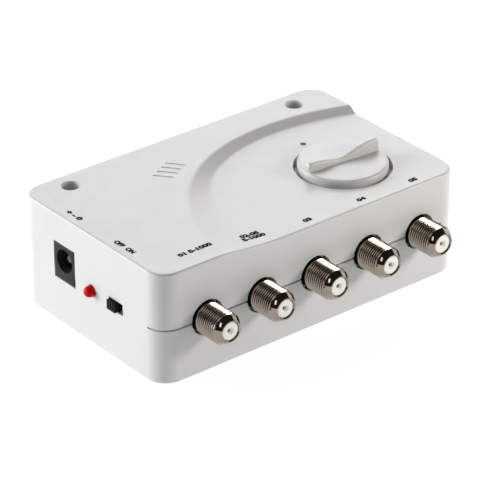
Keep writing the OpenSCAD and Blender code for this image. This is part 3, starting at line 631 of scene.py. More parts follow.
def slope_share(x, y, sizes):
    """How far up the slope points lie: 0 on the sunken panel, 1 on the raised part.

    The slope runs straight between two ovals whose outlines are compared along every direction."""
    direction_count, batch = 720, 4000
    directions = np.linspace(0, 2 * math.pi, direction_count, endpoint=False)
    normals = np.stack([np.cos(directions), np.sin(directions)])
    reaches = []
    for half, centre, turn in (
        (sizes.foot_half, sizes.foot_centre, sizes.foot_turn),
        (sizes.head_half, sizes.head_centre, sizes.head_turn),
    ):
        middle_point = np.array([knob_axis.x + centre[0], knob_axis.y + centre[1]])
        own = directions - turn
        reach = np.hypot(half[0] * np.cos(own), half[1] * np.sin(own))
        reaches.append(middle_point @ normals + reach)
    foot, head = reaches
    share = np.empty(len(x))
    for start in range(0, len(x), batch):
        part = slice(start, start + batch)
        along = np.stack([x[part], y[part]], axis=1) @ normals
        share[part] = ((along - foot) / (head - foot)).max(axis=1)
    return np.clip(share, 0, 1)


def ease(share, rounded):
    """A straight rise from 0 to 1 with both ends rounded."""
    peak = 1 / (1 - rounded)
    rise = peak * (share - rounded / 2)
    low = peak * share ** 2 / (2 * rounded)
    high = 1 - peak * (1 - share) ** 2 / (2 * rounded)
    return np.where(share < rounded, low, np.where(share > 1 - rounded, high, rise))


def panel_drop(x, y, sizes):
    """How far the top lies below the raised part."""
    return sizes.step * (1 - ease(slope_share(x, y, sizes), sizes.slope_ease))


def let_down(obj, sizes, above=0.0):
    """Lets what lies above a height down with the sunken panel."""
    places = np.empty(len(obj.data.vertices) * 3, dtype=np.float32)
    obj.data.vertices.foreach_get("co", places)
    places = places.reshape(-1, 3)
    upper = places[:, 2] > above
    places[upper, 2] -= panel_drop(places[upper, 0], places[upper, 1], sizes)
    obj.data.vertices.foreach_set("co", places.ravel())
    obj.data.update()
    return obj


class Outline:
    """A rounded rectangle in edit mode, grown ring by ring with extrude and resize."""

    corner_segments = 14

    def __init__(self, name, height, sizes, long_cuts, short_cuts):
        self.inset = 0.0
        self.height = height
        clear_selection()
        bpy.ops.mesh.primitive_plane_add(size=1, location=(0, 0, height))
        bpy.ops.transform.resize(value=(case_width, case_depth, 1))
        settle(name)
        bpy.ops.object.mode_set(mode="EDIT")
        bpy.ops.mesh.select_all(action="SELECT")
        bpy.ops.mesh.bevel(
            offset=sizes.corner_radius, segments=self.corner_segments, affect="VERTICES", profile=0.5
        )
        bpy.ops.mesh.select_all(action="SELECT")
        bpy.ops.mesh.delete(type="ONLY_FACE")
        straight = case_depth / 4
        pick("EDGE", lambda edge: abs(edge_run(edge).x) > straight)
        bpy.ops.mesh.subdivide(number_cuts=long_cuts)
        pick("EDGE", lambda edge: abs(edge_run(edge).y) > straight)
        bpy.ops.mesh.subdivide(number_cuts=short_cuts)
        bpy.ops.mesh.select_all(action="SELECT")

    def ring(self, inset, height):
        """Extrudes the last ring to a new inset and height."""
        bpy.ops.mesh.extrude_edges_move(
            TRANSFORM_OT_translate={"value": (0, 0, height - self.height)}
        )
        narrow = (case_width / 2 - inset) / (case_width / 2 - self.inset)
        shallow = (case_depth / 2 - inset) / (case_depth / 2 - self.inset)
        bpy.ops.transform.resize(value=(narrow, shallow, 1), center_override=(0, 0, 0))
        self.inset, self.height = inset, height

    def shrink(self, share):
        """Extrudes the last ring to a smaller copy of itself about the middle."""
        bpy.ops.mesh.extrude_edges_move(TRANSFORM_OT_translate={"value": (0, 0, 0)})
        bpy.ops.transform.resize(value=(share, share, 1), center_override=(0, 0, 0))

    def restart(self, height):
        """Takes up the ring at a height and no inset again."""
        pick("EDGE", lambda edge: edge.is_boundary and abs(edge_middle(edge).z - height) < NEAR)
        self.inset, self.height = 0.0, height

    def close(self):
        """Fills the last ring with one face."""
        bpy.ops.mesh.edge_face_add()

    def point(self):
        """Draws the last ring together to one point."""
        bpy.ops.mesh.merge(type="CENTER")

    def finish(self):
        """Leaves edit mode and gives the closed mesh back."""
        bpy.ops.object.mode_set(mode="OBJECT")
        return close_up(bpy.context.active_object)


def fixing_places(sizes):
    """Centres of the two wall-screw holes."""
    reach = case_width / 2 - sizes.fixing_from_end
    back = case_depth / 2 - sizes.fixing_from_back
    return [Vector((-reach, back, 0)), Vector((reach, back, 0))]


def wall_cutters(sizes):
    """Everything that passes through the front wall and the left end, as one solid."""
    cutters = []
    front, inside = case_low.y - PAST, case_low.y + sizes.wall + sizes.port_reach
    radius = bpy.context.scene.amp_socket.thread / 2 + sizes.port_gap
    for number in PORTS:
        port = middle(f"f_socket_{number}")
        cutters.append(add_rod("cutter", (port.x, front, port.z), (port.x, inside, port.z), radius))
    outer, inner = case_low.x - PAST, case_low.x + sizes.wall + PAST
    low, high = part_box("dc_jack_body")
    gap = sizes.end_gap
    cutters.append(add_block(
        "cutter", (outer, low.y - gap, low.z - gap), (inner, high.y + gap, high.z + gap),
    ))
    light = middle("led_lens")
    radius = light_radius() + gap
    cutters.append(add_rod("cutter", (outer, light.y, light.z), (inner, light.y, light.z), radius))
    button = middle("switch_slider")
    half_width, half_height = sizes.button_size[0] / 2, sizes.button_size[1] / 2 + sizes.slot_gap
    back = button.y + half_width + sizes.slot_play
    forward = button.y - half_width - sizes.slot_travel - sizes.slot_play
    cutters.append(add_block(
        "cutter", (outer, forward, button.z - half_height), (inner, back, button.z + half_height),
    ))
    return join("wall_cutters", cutters)


def light_radius():
    """Radius of the pilot light's body, which is narrower than its flange."""
    low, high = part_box("led_lens")
    return (high.z - low.z) / 2 - bpy.context.scene.amp_end.light_flange


def groove_cutters(sizes):
    """Slanted grooves with round ends, on the raised part behind the slope."""
    cutters = []
    end_share, floor_share, downwards = 0.45, 0.3, -0.9
    span, width = sizes.groove_size
    turn = sizes.groove_turn
    along = Vector((math.cos(turn), math.sin(turn), 0))
    across = Vector((-math.sin(turn), math.cos(turn), 0))
    start = knob_axis + Vector((*sizes.groove_middle, 0))
    low, high = case_height - sizes.groove_depth, case_height + PAST
    for index in range(sizes.groove_count):
        step = index - (sizes.groove_count - 1) / 2
        spot = start + step * (sizes.groove_step[0] * along + sizes.groove_step[1] * across)
        clear_selection()
        bpy.ops.mesh.primitive_cube_add(
            size=1, location=spot + UP * (low + high) / 2,
            rotation=(0, 0, turn), scale=(span, width, high - low),
        )
        groove = settle("cutter")
        bpy.ops.object.mode_set(mode="EDIT")
        pick("EDGE", lambda edge: abs(edge_run(edge).z) > PAST)
        bpy.ops.mesh.bevel(offset=width * end_share, segments=5, affect="EDGES")
        pick("FACE", lambda face: face.normal.z < downwards)
        bpy.ops.mesh.bevel(offset=width * floor_share, segments=3, affect="EDGES")
        bpy.ops.object.mode_set(mode="OBJECT")
        cutters.append(groove)
    return cutters


def build_cover(sizes, knob):
    """The cover: its outside ring by ring, the panel let down, then bosses and openings."""
    long_cuts, short_cuts, top_rings = 110, 130, 76
    groove, wall, lip_gap = sizes.seam_groove, sizes.wall, sizes.lip_gap
    shell = Outline("cover_shell", seam_height + groove, sizes, long_cuts, short_cuts)
    shell.ring(0, case_height - sizes.edge_round)
    for inset, drop in rounding(sizes.edge_round, steps=8, first=1):
        shell.ring(inset, case_height - drop)
    for step in range(1, top_rings):
        shell.shrink((top_rings - step) / (top_rings - step + 1))
    shell.point()
    shell.restart(seam_height + groove)
    recess, recess_top = wall - sizes.lip - lip_gap, seam_height + sizes.lip_height + lip_gap
    panel_height = case_height - sizes.step
    roof_height = panel_height - sizes.roof
    for inset, height in (
        (groove, seam_height), (recess, seam_height), (recess, recess_top), (wall, recess_top),
        (wall, roof_height),
    ):
        shell.ring(inset, height)
    shell.close()
    cover = let_down(shell.finish(), sizes, case_height - sizes.edge_round - NEAR)
    well_height = panel_height - knob.well_depth
    knob_low, knob_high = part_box("gain_knob")
    well_radius = (knob_high.x - knob_low.x) / 2 + knob.well_gap
    fixings = fixing_places(sizes)
    well_foot, boss_top = well_height - knob.well_wall, roof_height + PAST
    bosses = [add_post("boss", knob_axis, well_foot, boss_top, well_radius + knob.well_wall, sides=96)]
    for spot in fixings:
        bosses.append(add_post("boss", spot, seam_height, boss_top, sizes.fixing_tube / 2))
    combine(cover, join("bosses", bosses), "UNION")
    mark = knob_axis + Vector((0, knob.mark_distance, 0))
    cutters = [
        add_post("cutter", knob_axis, well_height, case_height + PAST, well_radius, sides=128),
        add_post("cutter", mark, panel_height - knob.mark_depth, case_height, knob.mark / 2, sides=32),
    ]
    cutters += [fixing_cutter(spot, sizes.fixing_bore / 2, sizes.fixing_bevel) for spot in fixings]
    cutters += groove_cutters(sizes)
    combine(cover, join("top_cutters", cutters), "DIFFERENCE")
    shaft = add_post("cutter", knob_axis, well_foot - PAST, well_height + PAST, knob.shaft_hole / 2)
    combine(cover, shaft, "DIFFERENCE")
    combine(cover, wall_cutters(sizes), "DIFFERENCE")
    return smooth(cover, degrees=32)


def fixing_cutter(spot, radius, bevel):
    """A wall-screw hole with its bevelled mouth."""
    halfway, sag = 0.5, 0.45
    foot, top, mouth = seam_height - PAST, case_height, radius + bevel
    outline = [
        (0, foot), (radius, foot), (radius, top - bevel), (radius + bevel * halfway, top - bevel * sag),
        (mouth, top), (mouth, top + PAST), (0, top + PAST),
    ]
    return spin_profile("cutter", outline, spot, "Z", steps=48)


def build_tray(sizes):
    """The tray: rounded base, walls with a tongue, tubes and openings."""
    cuts = 3
    wall, floor, tongue = sizes.wall, sizes.floor, sizes.wall - sizes.lip
    shell = Outline("tray_shell", sizes.base_round, sizes, cuts, cuts)
    tongue_top = seam_height + sizes.lip_height
    for inset, height in (
        (sizes.seam_set, seam_height), (tongue, seam_height), (tongue, tongue_top), (wall, tongue_top),
        (wall, floor),
    ):
        shell.ring(inset, height)
    shell.close()
    shell.restart(sizes.base_round)
    for inset, height in rounding(sizes.base_round, steps=4, first=1):
        shell.ring(inset, height)
    shell.close()
    tray = shell.finish()
    fixings, screws = fixing_places(sizes), screw_places()
    tubes, bores = [], []
    head_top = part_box("case_screws")[0].z + sizes.head_depth
    for spots, tube, tube_top, bore, bore_top in (
        (fixings, sizes.fixing_tube, seam_height, sizes.fixing_bore, seam_height + PAST),
        (screws, sizes.post, seam_height - sizes.seam_groove, sizes.head_bore, head_top),
    ):
        for spot in spots:
            tubes.append(add_post("boss", spot, floor / 2, tube_top, tube / 2))
            bores.append(add_post("cutter", spot, -PAST, bore_top, bore / 2))
    combine(tray, join("tubes", tubes), "UNION")
    combine(tray, join("tray_bores", bores), "DIFFERENCE")
    corner, gap_foot, gap_top = sizes.corner_radius, seam_height - sizes.seam_gap, seam_height + PAST
    gap = add_block(
        "cutter", (case_low.x + corner, case_low.y - PAST, gap_foot),
        (case_high.x - corner, case_low.y + sizes.gap_depth, gap_top),
    )
    combine(tray, gap, "DIFFERENCE")
    combine(tray, corner_gap(sizes, gap_foot, gap_top), "DIFFERENCE")
    combine(tray, wall_cutters(sizes), "DIFFERENCE")
    return smooth(tray, degrees=32)


def corner_gap(sizes, foot, top):
    """A cutter that takes the seam's gap round the front left corner."""
    centre = Vector((case_low.x + sizes.corner_radius, case_low.y + sizes.corner_radius, 0))
    inner, outer = case_low.y + sizes.gap_depth, case_low.y - PAST
    draw_line([(centre.x, y, z) for y, z in ((inner, foot), (outer, foot), (outer, top), (inner, top))])
    bpy.ops.mesh.edge_face_add()
    bpy.ops.mesh.spin(steps=24, angle=math.pi / 2, center=centre, axis=UP)
    bpy.ops.object.mode_set(mode="OBJECT")
    cutter = close_up(settle("cutter"))
    if max(corner[0] for corner in cutter.bound_box) > centre.x + NEAR:
        raise RuntimeError("the seam's gap turned away from the corner")
    return cutter


def screw_places():
    """Centres of the case screws, read from the solids of their CAD node."""
    head_slice = 0.1 * MM
    shape = bmesh.new()
    shape.from_mesh(frame["nodes"]["case_screws"].data)
    bmesh.ops.remove_doubles(shape, verts=shape.verts, dist=MERGE)
    low = min(vert.co.z for vert in shape.verts)
    heads = [vert.co.copy() for vert in shape.verts if vert.co.z < low + head_slice]
    shape.free()
    places = []
    for side in (-1, 1):
        for end in (-1, 1):
            near = [co for co in heads if co.x * side > 0 and co.y * end > 0]
            box_x = [co.x for co in near]
            box_y = [co.y for co in near]
            places.append(Vector(((min(box_x) + max(box_x)) / 2, (min(box_y) + max(box_y)) / 2, 0)))
    return places


class AMP_OT_case(bpy.types.Operator):
    """Build the cover and the tray of the case"""

    bl_idname = "amp.case"
    bl_label = "Case"

    def execute(self, context):
        sizes, knob = context.scene.amp_case, context.scene.amp_knob
        white = moulded_plastic("white_case", sizes.white, rough=0.38)
        dress(build_cover(sizes, knob), white, "case", ["top_cover"])
        dress(build_tray(sizes), white, "case", ["base_tray"])
        return {"FINISHED"}


class AMP_OT_knob(bpy.types.Operator):
    """Build the gain knob"""

    bl_idname = "amp.knob"
    bl_label = "Gain knob"

    def execute(self, context):
        sizes, case = context.scene.amp_knob, context.scene.amp_case
        low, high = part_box("gain_knob")
        radius, shaft, hub = (high.x - low.x) / 2, sizes.shaft / 2, sizes.hub / 2
        disc = case_height - case.step + sizes.disc_rise
        ceiling, shaft_top, inside = disc - sizes.roof, disc - sizes.roof / 2, radius - sizes.skirt
        outline = [
            (0, shaft_top), (shaft, shaft_top), (shaft, low.z), (hub, low.z), (hub, ceiling),
            (inside, ceiling), (inside, low.z), (radius, low.z),
        ]
        outline += [(radius - inset, disc - drop) for inset, drop in rounding(sizes.rim_round, steps=8)]
        outline.append((0, disc))
        knob = spin_profile("knob_cap", outline, knob_axis, "Z", steps=128)
        combine(knob, self.finger_bar(sizes, disc, high.z), "UNION")
        white = moulded_plastic("white_knob", sizes.white, rough=0.36)
        dress(smooth(knob, degrees=40), white, "knob", ["gain_knob"])
        return {"FINISHED"}

    def finger_bar(self, sizes, disc, top):
        """A bar across the disc, hollowed and with rounded ends, extruded step by step."""
        root = disc - sizes.rim_round
        side, crest = sizes.bar_foot / 2, sizes.bar_top / 2
        profile = self.bar_profile(sizes, -sizes.bar_reach[0], sizes.bar_reach[1], top)
        x, height = profile[0]
        section = [(-side, root)]
        section += [(inset - crest, height - drop) for inset, drop in rounding(sizes.bar_round, steps=4)]
        section += [(-y, z) for y, z in reversed(section)]
        draw_line([(x, y, z) for y, z in section])
        bpy.ops.mesh.edge_face_add()
        for (here, low), (there, high) in zip(profile, profile[1:]):
            bpy.ops.mesh.extrude_region_move(TRANSFORM_OT_translate={"value": (there - here, 0, 0)})
            rise = (high - root) / (low - root)
            bpy.ops.transform.resize(value=(1, 1, rise), center_override=(0, 0, root))
        bpy.ops.object.mode_set(mode="OBJECT")
        bar = close_up(settle("bar"))
        bar.rotation_euler = (0, 0, sizes.bar_turn)
        bar.location = knob_axis
        return settle("bar")

    def bar_profile(self, sizes, left, right, top):
        """Heights of the bar's back from its left end to its right end."""
        def back(x):
            fall = sizes.bar_fall * (right - x) / (right - left)
            return top - fall - sizes.bar_dip * math.exp(-((x + sizes.dip_place) / sizes.dip_reach) ** 2)

        end_steps, middle_steps = 6, 40
        first, last = sizes.bar_ends
        profile = [(left + inset, drop) for inset, drop in rounding(first, end_steps)]
        between = np.linspace(left + first, right - last, middle_steps)[1:-1]
        profile += [(float(x), 0.0) for x in between]
        profile += [(right - inset, drop) for inset, drop in reversed(rounding(last, end_steps))]
        return [(x, back(x) - drop) for x, drop in profile]


class AMP_OT_sockets(bpy.types.Operator):
    """Build the threaded coaxial sockets with their insulators"""

    bl_idname = "amp.sockets"
    bl_label = "Coaxial sockets"

    def execute(self, context):
        sizes = context.scene.amp_socket
        plating = self.plating(sizes)
        ivory = moulded_plastic("ivory_insulator", sizes.ivory, rough=0.45, grain=0.01)
        first = middle(f"f_socket_{PORTS[0]}")
        runs = [middle(f"f_socket_{number}") - first for number in PORTS]
        sockets = repeat(self.socket("coax_socket", f"f_socket_{PORTS[0]}", sizes), runs)
        insulators = repeat(self.insulator("coax_insulator", f"f_insulator_{PORTS[0]}", sizes), runs)
        for number, socket, insulator in zip(PORTS, sockets, insulators):
            dress(socket, plating, "case", [f"f_socket_{number}"])
            dress(insulator, ivory, "case", [f"f_insulator_{number}"])
        return {"FINISHED"}

    def plating(self, sizes):
        """Plating: satin on the thread, bright on the nose, with painted shade darkening it inside the
        case's wall.
        """
        stain_scale, finish_run = 300, 0.1 * MM
        material, principled, tree, where = shader("nickel_plating")
        along = add_node(tree, "ShaderNodeSeparateXYZ", {"Vector": where}).outputs["Y"]
        stain = noise(tree, where, stain_scale, 4)
        # Painted shade: the colour blends to the darkened plating towards the inside of the case's wall
        painted_shade_run = [case_low.y + edge for edge in sizes.painted_shade_run]
        blend = tree.nodes.new("ShaderNodeMix")
        blend.data_type = "RGBA"
        feed(tree, blend, {
            "Factor": spread(tree, along, 0, 1, painted_shade_run),
            "A": ramp(tree, stain, shade(sizes.plating, sizes.stained), sizes.plating),
            "B": (*shade(sizes.plating, sizes.shadowed), 1),
        })
        shoulder = case_low.y - sizes.thread_length
        change = (shoulder - finish_run, shoulder + finish_run)
        feed(tree, principled, {
            "Base Color": blend.outputs["Result"],
            "Roughness": spread(tree, along, sizes.polish, sizes.satin, change),
            "Metallic": 1.0,
        })
        return material

    def socket(self, name, node, sizes):
        """One socket, spun from the half outline of its thread and nose."""
        low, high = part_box(node)
        port = (low + high) / 2
        front = case_low.y
        shoulder = front - sizes.thread_length
        bore, thread, relief = sizes.insulator / 2 + sizes.bore_gap, sizes.thread / 2, sizes.relief / 2
        outline = [(bore, high.y), (bore, low.y + sizes.mouth[1]), (bore + sizes.mouth[0], low.y)]
        outline += self.nose_curve((sizes.tip / 2, low.y), (sizes.nose / 2, shoulder), sizes.bulge)
        root = thread - sizes.thread_depth
        turn = (
            (root, sizes.root_share), (thread, 0.5 - sizes.crest_share),
            (thread, 0.5 + sizes.crest_share), (root, 1 - sizes.root_share),
        )
        for index in range(int((sizes.thread_length - sizes.thread_end) / sizes.pitch)):
            outline += [(radius, shoulder + (index + share) * sizes.pitch) for radius, share in turn]
        collar, relief_end = high.y - sizes.collar, front + sizes.relief_length
        outline += [
            (relief, front), (relief, relief_end), (thread, relief_end), (thread, collar),
            (thread, high.y), (bore, high.y),
        ]
        barrel = spin_profile(name, outline, port, "Y")
        flange = add_block("flange", (low.x, collar, low.z), high)
        cutter_ends = (port.x, collar - PAST, port.z), (port.x, high.y + PAST, port.z)
        combine(flange, add_rod("cutter", *cutter_ends, bore), "DIFFERENCE")
        combine(barrel, flange, "UNION")
        return smooth(barrel, degrees=30)

    def nose_curve(self, front, back, bulge):
        """A cone between two points of the half outline, bulged a little between them."""
        (front_radius, front_y), (back_radius, back_y) = front, back
        steps = 8
        curve = []
        for share in (step / steps for step in range(steps + 1)):
            out = 4 * bulge * share * (1 - share)
            radius = front_radius + (back_radius - front_radius) * share + out
            curve.append((radius, front_y + (back_y - front_y) * share - out / 2))
        return curve

    def insulator(self, name, node, sizes):
        """A stepped plug with a countersunk hole for the cable's wire."""
        low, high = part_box(node)
        port = (low + high) / 2
        radius, neck = sizes.insulator / 2, sizes.neck / 2
        hole, contact = sizes.wire_hole / 2, sizes.contact_hole / 2
        shoulder, hole_end = high.y - sizes.neck_length, low.y + sizes.hole_depth
        inner_edge, outer_edge = (radius - inset for inset in sizes.face_edge)
        halfway, face_end = (low.y + fall for fall in sizes.face_fall)
        outline = [
            (hole, hole_end), (hole, low.y + sizes.funnel[1]),
            (hole + sizes.funnel[0], low.y + sizes.funnel_lip), (inner_edge, low.y),
            (outer_edge, halfway), (radius, face_end), (radius, shoulder), (neck, shoulder),
            (neck, high.y), (contact, high.y), (contact, hole_end), (hole, hole_end),
        ]
        return smooth(spin_profile(name, outline, port, "Y", steps=48))


class AMP_OT_end_pieces(bpy.types.Operator):
    """Build the power jack, the pilot light and the switch button on the left end"""

    bl_idname = "amp.end_pieces"
    bl_label = "Jack, light and switch"

    def execute(self, context):
        sizes, case = context.scene.amp_end, context.scene.amp_case
        black = moulded_plastic("black_jack", sizes.black, rough=0.5, mottle=0.2, shine=0.2)
        dress(self.jack(sizes), black, "case", ["dc_jack_body"])
        dress(self.light(sizes), self.red_epoxy(sizes), "case", ["led_lens"])
        nub = moulded_plastic("black_button", sizes.button_black, rough=0.5, mottle=0.2, shine=0.12)
        dress(self.button(sizes, case), nub, "slider", ["switch_slider"])
        return {"FINISHED"}

    def jack(self, sizes):
        """A block with rounded edges round a flared mouth."""
        low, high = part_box("dc_jack_body")
        body = round_edges(add_block("power_jack", low, high), sizes.jack_round)
        pin = middle("dc_jack_pin")
        leaf_low, leaf_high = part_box("dc_jack_leaf")
        axis_height = leaf_high.z + sizes.jack_axis
        radius, flare = sizes.jack_bore / 2, sizes.jack_bore / 2 + sizes.flare
        face, bottom = low.x - PAST, low.x + sizes.bore_depth
        outline = [
            (0, face), (flare, face), (flare, low.x + sizes.flare_run[0]),
            (radius, low.x + sizes.flare_run[1]), (radius, bottom), (0, bottom),
        ]
        mouth = spin_profile("cutter", outline, Vector((0, pin.y, axis_height)), "X", steps=64)
        combine(body, mouth, "DIFFERENCE")
        play = sizes.leaf_play
        slot = add_block(
            "cutter", (leaf_low.x - play, leaf_low.y - play, leaf_high.z - sizes.leaf_sink),
            (leaf_high.x + play, leaf_high.y + play, axis_height),
        )
        combine(body, slot, "DIFFERENCE")
        return smooth(body)

    def light(self, sizes):
        """A domed lens on a stepped flange."""
        low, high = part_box("led_lens")
        radius, flange, step = light_radius(), (high.z - low.z) / 2, high.x - sizes.flange_length
        outline = [(0, high.x), (flange, high.x), (flange, step), (radius, step)]
        outline += [(radius - inset, low.x + drop) for inset, drop in rounding(radius, steps=12)]
        lens = spin_profile("pilot_light", outline, middle("led_lens"), "X", steps=48)
        return smooth(lens, degrees=40)

    def red_epoxy(self, sizes):
        """Clear red epoxy with a deeper red core."""
        swirl_scale, rough = 500, (0.36, 0.44)
        glow_depth = (2 * MM, 0.3 * MM, 0.2 * MM)
        material, principled, tree, where = shader("red_epoxy")
        swirl = noise(tree, where, swirl_scale, 2)
        feed(tree, principled, {
            "Base Color": ramp(tree, swirl, sizes.deep_red, sizes.red),
            "Roughness": spread(tree, swirl, *rough),
            "Subsurface Weight": 0.3,
            "Subsurface Radius": glow_depth,
            "Specular IOR Level": 0.1,
        })
        return material

    def button(self, sizes, case):
        """The slider: a block in the can and a ridged button that stands out of the slot."""
        low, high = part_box("switch_slider")
        spot = middle("switch_slider")
        half_width, half_height = case.button_size[0] / 2, case.button_size[1] / 2
        block_face = case_low.x + case.wall + sizes.block_back
        block = add_block("switch_button", (block_face, low.y, low.z), high)
        nub = add_block(
            "nub", (low.x, spot.y - half_width, spot.z - half_height),
            (block_face + sizes.nub_root, spot.y + half_width, spot.z + half_height),
        )
        round_edges(nub, sizes.nub_round)
        reach, depth = sizes.ridge_groove[0] / 2, low.x + sizes.ridge_groove[1]
        grooves = []
        for step in (-1, 0, 1):
            centre = spot.y + step * half_width / 2
            grooves.append(add_block(
                "cutter", (low.x - PAST, centre - reach, low.z - PAST),
                (depth, centre + reach, high.z + PAST),
            ))
        combine(nub, join("grooves", grooves), "DIFFERENCE")
        combine(block, nub, "UNION")
        return smooth(block)


class AMP_OT_marks(bpy.types.Operator):
    """Print OFF and ON by the switch, plain signs by the jack, and numbers by the sockets"""

    bl_idname = "amp.marks"
    bl_label = "Printed marks"

    def execute(self, context):
        scene = context.scene
        sizes, knob, prints = scene.amp_case, scene.amp_knob, scene.amp_print
        matt = {"rough": 0.6, "grain": 0.004, "mottle": 0.2}
        ink = moulded_plastic("grey_ink", prints.ink, shine=0.04, **matt)
        side, sideways = case_low.x + prints.from_left, math.radians(-90)
        switch, jack = middle("switch_slider"), middle("dc_jack_body")
        marks = [
            ("off", "OFF", side, switch.y + prints.switch_rows[0], sideways, 1),
            ("on", "ON", side, switch.y + prints.switch_rows[1], sideways, 1),
            ("jack_sign", "+ - 0", side, jack.y - prints.jack_row, sideways, prints.jack_stretch),
        ]
        for number, (sign, right, behind) in zip(PORTS, PORT_SIGNS):
            x, y = middle(f"f_socket_{number}").x + right * MM, case_low.y + behind * MM
            marks.append((f"port_{number}", sign, x, y, 0, prints.stretch))
        for name, sign, x, y, turn, stretch in marks:
            mark = self.sign(f"mark_{name}", sign, (x, y), turn, stretch, prints)
            dress(let_down(mark, sizes), ink, "case", [])
        paint = moulded_plastic("grey_paint", prints.paint, shine=0.1, **matt)
        dress(self.index_dot(knob, sizes), paint, "case", [])
        return {"FINISHED"}

    def index_dot(self, knob, sizes):
        """Paint in the index mark behind the knob."""
        mark = knob_axis + Vector((0, knob.mark_distance, 0))
        panel_height = case_height - sizes.step
        foot, top = panel_height - knob.mark_depth + knob.paint_rise, panel_height - knob.paint_sink
        paint = add_post("mark_index", mark, foot, top, knob.mark / 2 - knob.paint_gap, sides=32)
        return smooth(round_edges(paint, knob.paint_round, segments=2))

    def sign(self, name, text, spot, turn, stretch, prints):
        """A printed sign at the height of the raised part."""
        clear_selection()
        bpy.ops.object.text_add(location=(0, 0, 0))
        letters = bpy.context.active_object.data
        letters.body = text
        letters.size = prints.height
        letters.offset = prints.bold
        letters.extrude = prints.film / 2
        letters.space_line = prints.line_space
        letters.align_x, letters.align_y = "CENTER", "CENTER"
        bpy.ops.object.convert(target="MESH")
        mark = bpy.context.active_object
        mark.scale = (stretch, 1, 1)
        mark.rotation_euler = (0, 0, turn)
        mark.location = (*spot, case_height + prints.film)
        return close_up(settle(name))


class AMP_OT_inner_parts(bpy.types.Operator):
    """Give every CAD node that stays its own material"""

    bl_idname = "amp.inner_parts"
    bl_label = "Inner parts"

    def execute(self, context):
        finishes = {slot: plated_metal(slot, *finish) for slot, finish in METALS.items()}
        for slot, finish in MOULDINGS.items():
            finishes[slot] = moulded_plastic(*finish)
        own = {
            # Painted shade: the switch's can is coloured near black so the slot in front of it reads
            # dark
            "switch_can": plated_metal("shade_dark_can", (0.008, 0.008, 0.009), rough=0.5),
            # Painted shade: the jack's pin, deep in the mouth, is coloured dark so it shows only faintly
            "dc_jack_pin": plated_metal("shade_dark_pin", (0.16, 0.16, 0.15), rough=0.45),
        }
        slots = {part["node"]: part["material_slot"] for part in frame["record"]["subparts"]}
        for name, node in frame["nodes"].items():
            if not node.hide_render:
                for holder in node.material_slots:
                    holder.material = own.get(name, finishes.get(slots[name]))
        return {"FINISHED"}


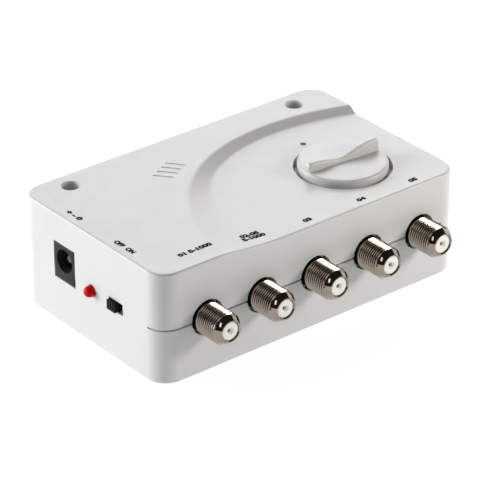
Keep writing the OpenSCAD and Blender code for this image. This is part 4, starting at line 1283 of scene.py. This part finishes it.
class AMP_OT_stage(bpy.types.Operator):
    """Set up the floor, the lights and the camera"""

    bl_idname = "amp.stage"
    bl_label = "Stage"

    def execute(self, context):
        stage = context.scene.amp_stage
        self.floor(stage)
        self.lights(stage)
        self.camera(context, stage)
        return {"FINISHED"}

    def floor(self, stage):
        """A pale floor, lit a little from within as a light table is."""
        cloud_scale, darkest = 3, 0.98
        clear_selection()
        bpy.ops.mesh.primitive_plane_add(size=stage.floor_size, location=(0, 0, -stage.floor_gap))
        floor = settle("floor")
        material, principled, tree, where = shader("pale_floor")
        cloud = noise(tree, where, cloud_scale, 2)
        feed(tree, principled, {
            "Base Color": ramp(tree, cloud, shade(stage.floor, darkest), stage.floor),
            "Roughness": 0.8,
            "Emission Color": (1, 1, 1, 1),
            "Emission Strength": stage.glow,
        })
        floor.data.materials.append(material)

    def lights(self, stage):
        """Soft lights behind on both sides, small cards in front, a catch light, a dim room."""
        aim = UP * stage.aim_height
        for name, (direction, distance, size, power, colour) in LIGHTS.items():
            clear_selection()
            towards = Vector(direction).normalized()
            bpy.ops.object.light_add(type="AREA", location=aim + towards * distance)
            lamp = bpy.context.active_object
            lamp.name = name
            lamp.data.shape = "RECTANGLE"
            lamp.data.size, lamp.data.size_y = size
            lamp.data.energy = power
            lamp.data.color = colour
            lamp.rotation_euler = (-towards).to_track_quat("-Z", "Y").to_euler()
        world = bpy.data.worlds.new("room")
        bpy.context.scene.world = world
        world.use_nodes = True
        background = world.node_tree.nodes["Background"]
        background.inputs["Color"].default_value = (*stage.room, 1)
        background.inputs["Strength"].default_value = stage.room_light

    def camera(self, context, stage):
        """A long lens from the front left, above the case."""
        az, el = stage.azimuth, stage.elevation
        back = Vector((-math.sin(az) * math.cos(el), -math.cos(az) * math.cos(el), math.sin(el)))
        right = Vector((math.cos(az), -math.sin(az), 0))
        target = UP * stage.aim_height + right * stage.aim[0] + back.cross(right) * stage.aim[1]
        clear_selection()
        bpy.ops.object.camera_add(location=target + back * stage.distance)
        camera = bpy.context.active_object
        camera.name = "photo_camera"
        camera.rotation_euler = (-back).to_track_quat("-Z", "Y").to_euler()
        camera.data.lens = stage.lens
        camera.data.sensor_width = stage.sensor
        camera.data.clip_start, camera.data.clip_end = 0.01, 20
        context.scene.camera = camera
        context.scene.view_settings.view_transform = "Standard"


class AMP_PT_panel(bpy.types.Panel):
    """Lists the amplifier's pieces and their sizes"""

    bl_idname = "AMP_PT_panel"
    bl_label = "Signal amplifier"
    bl_space_type = "VIEW_3D"
    bl_region_type = "UI"
    bl_category = "Amplifier"

    def draw(self, context):
        for operator in OPERATORS:
            self.layout.operator(operator.bl_idname)
        for holder in SETTINGS:
            group = getattr(context.scene, holder)
            for name in group.__annotations__:
                self.layout.prop(group, name)


SETTINGS = {
    "amp_case": CaseSettings, "amp_knob": KnobSettings, "amp_socket": SocketSettings,
    "amp_end": EndSettings, "amp_print": PrintSettings, "amp_stage": StageSettings,
}
OPERATORS = (
    AMP_OT_stage, AMP_OT_case, AMP_OT_knob, AMP_OT_sockets, AMP_OT_end_pieces,
    AMP_OT_marks, AMP_OT_inner_parts,
)


def register():
    """Registers the settings, operators and panel."""
    for holder, group in SETTINGS.items():
        bpy.utils.register_class(group)
        setattr(bpy.types.Scene, holder, PointerProperty(type=group))
    for item in (*OPERATORS, AMP_PT_panel):
        bpy.utils.register_class(item)


def unregister():
    """Takes them out again."""
    for item in (AMP_PT_panel, *reversed(OPERATORS)):
        bpy.utils.unregister_class(item)
    for holder, group in SETTINGS.items():
        delattr(bpy.types.Scene, holder)
        bpy.utils.unregister_class(group)


def main():
    """Builds every piece in order."""
    register()
    bpy.ops.amp.stage()
    bpy.ops.amp.case()
    bpy.ops.amp.knob()
    bpy.ops.amp.sockets()
    bpy.ops.amp.end_pieces()
    bpy.ops.amp.marks()
    bpy.ops.amp.inner_parts()


if __name__ == "__main__":
    main()
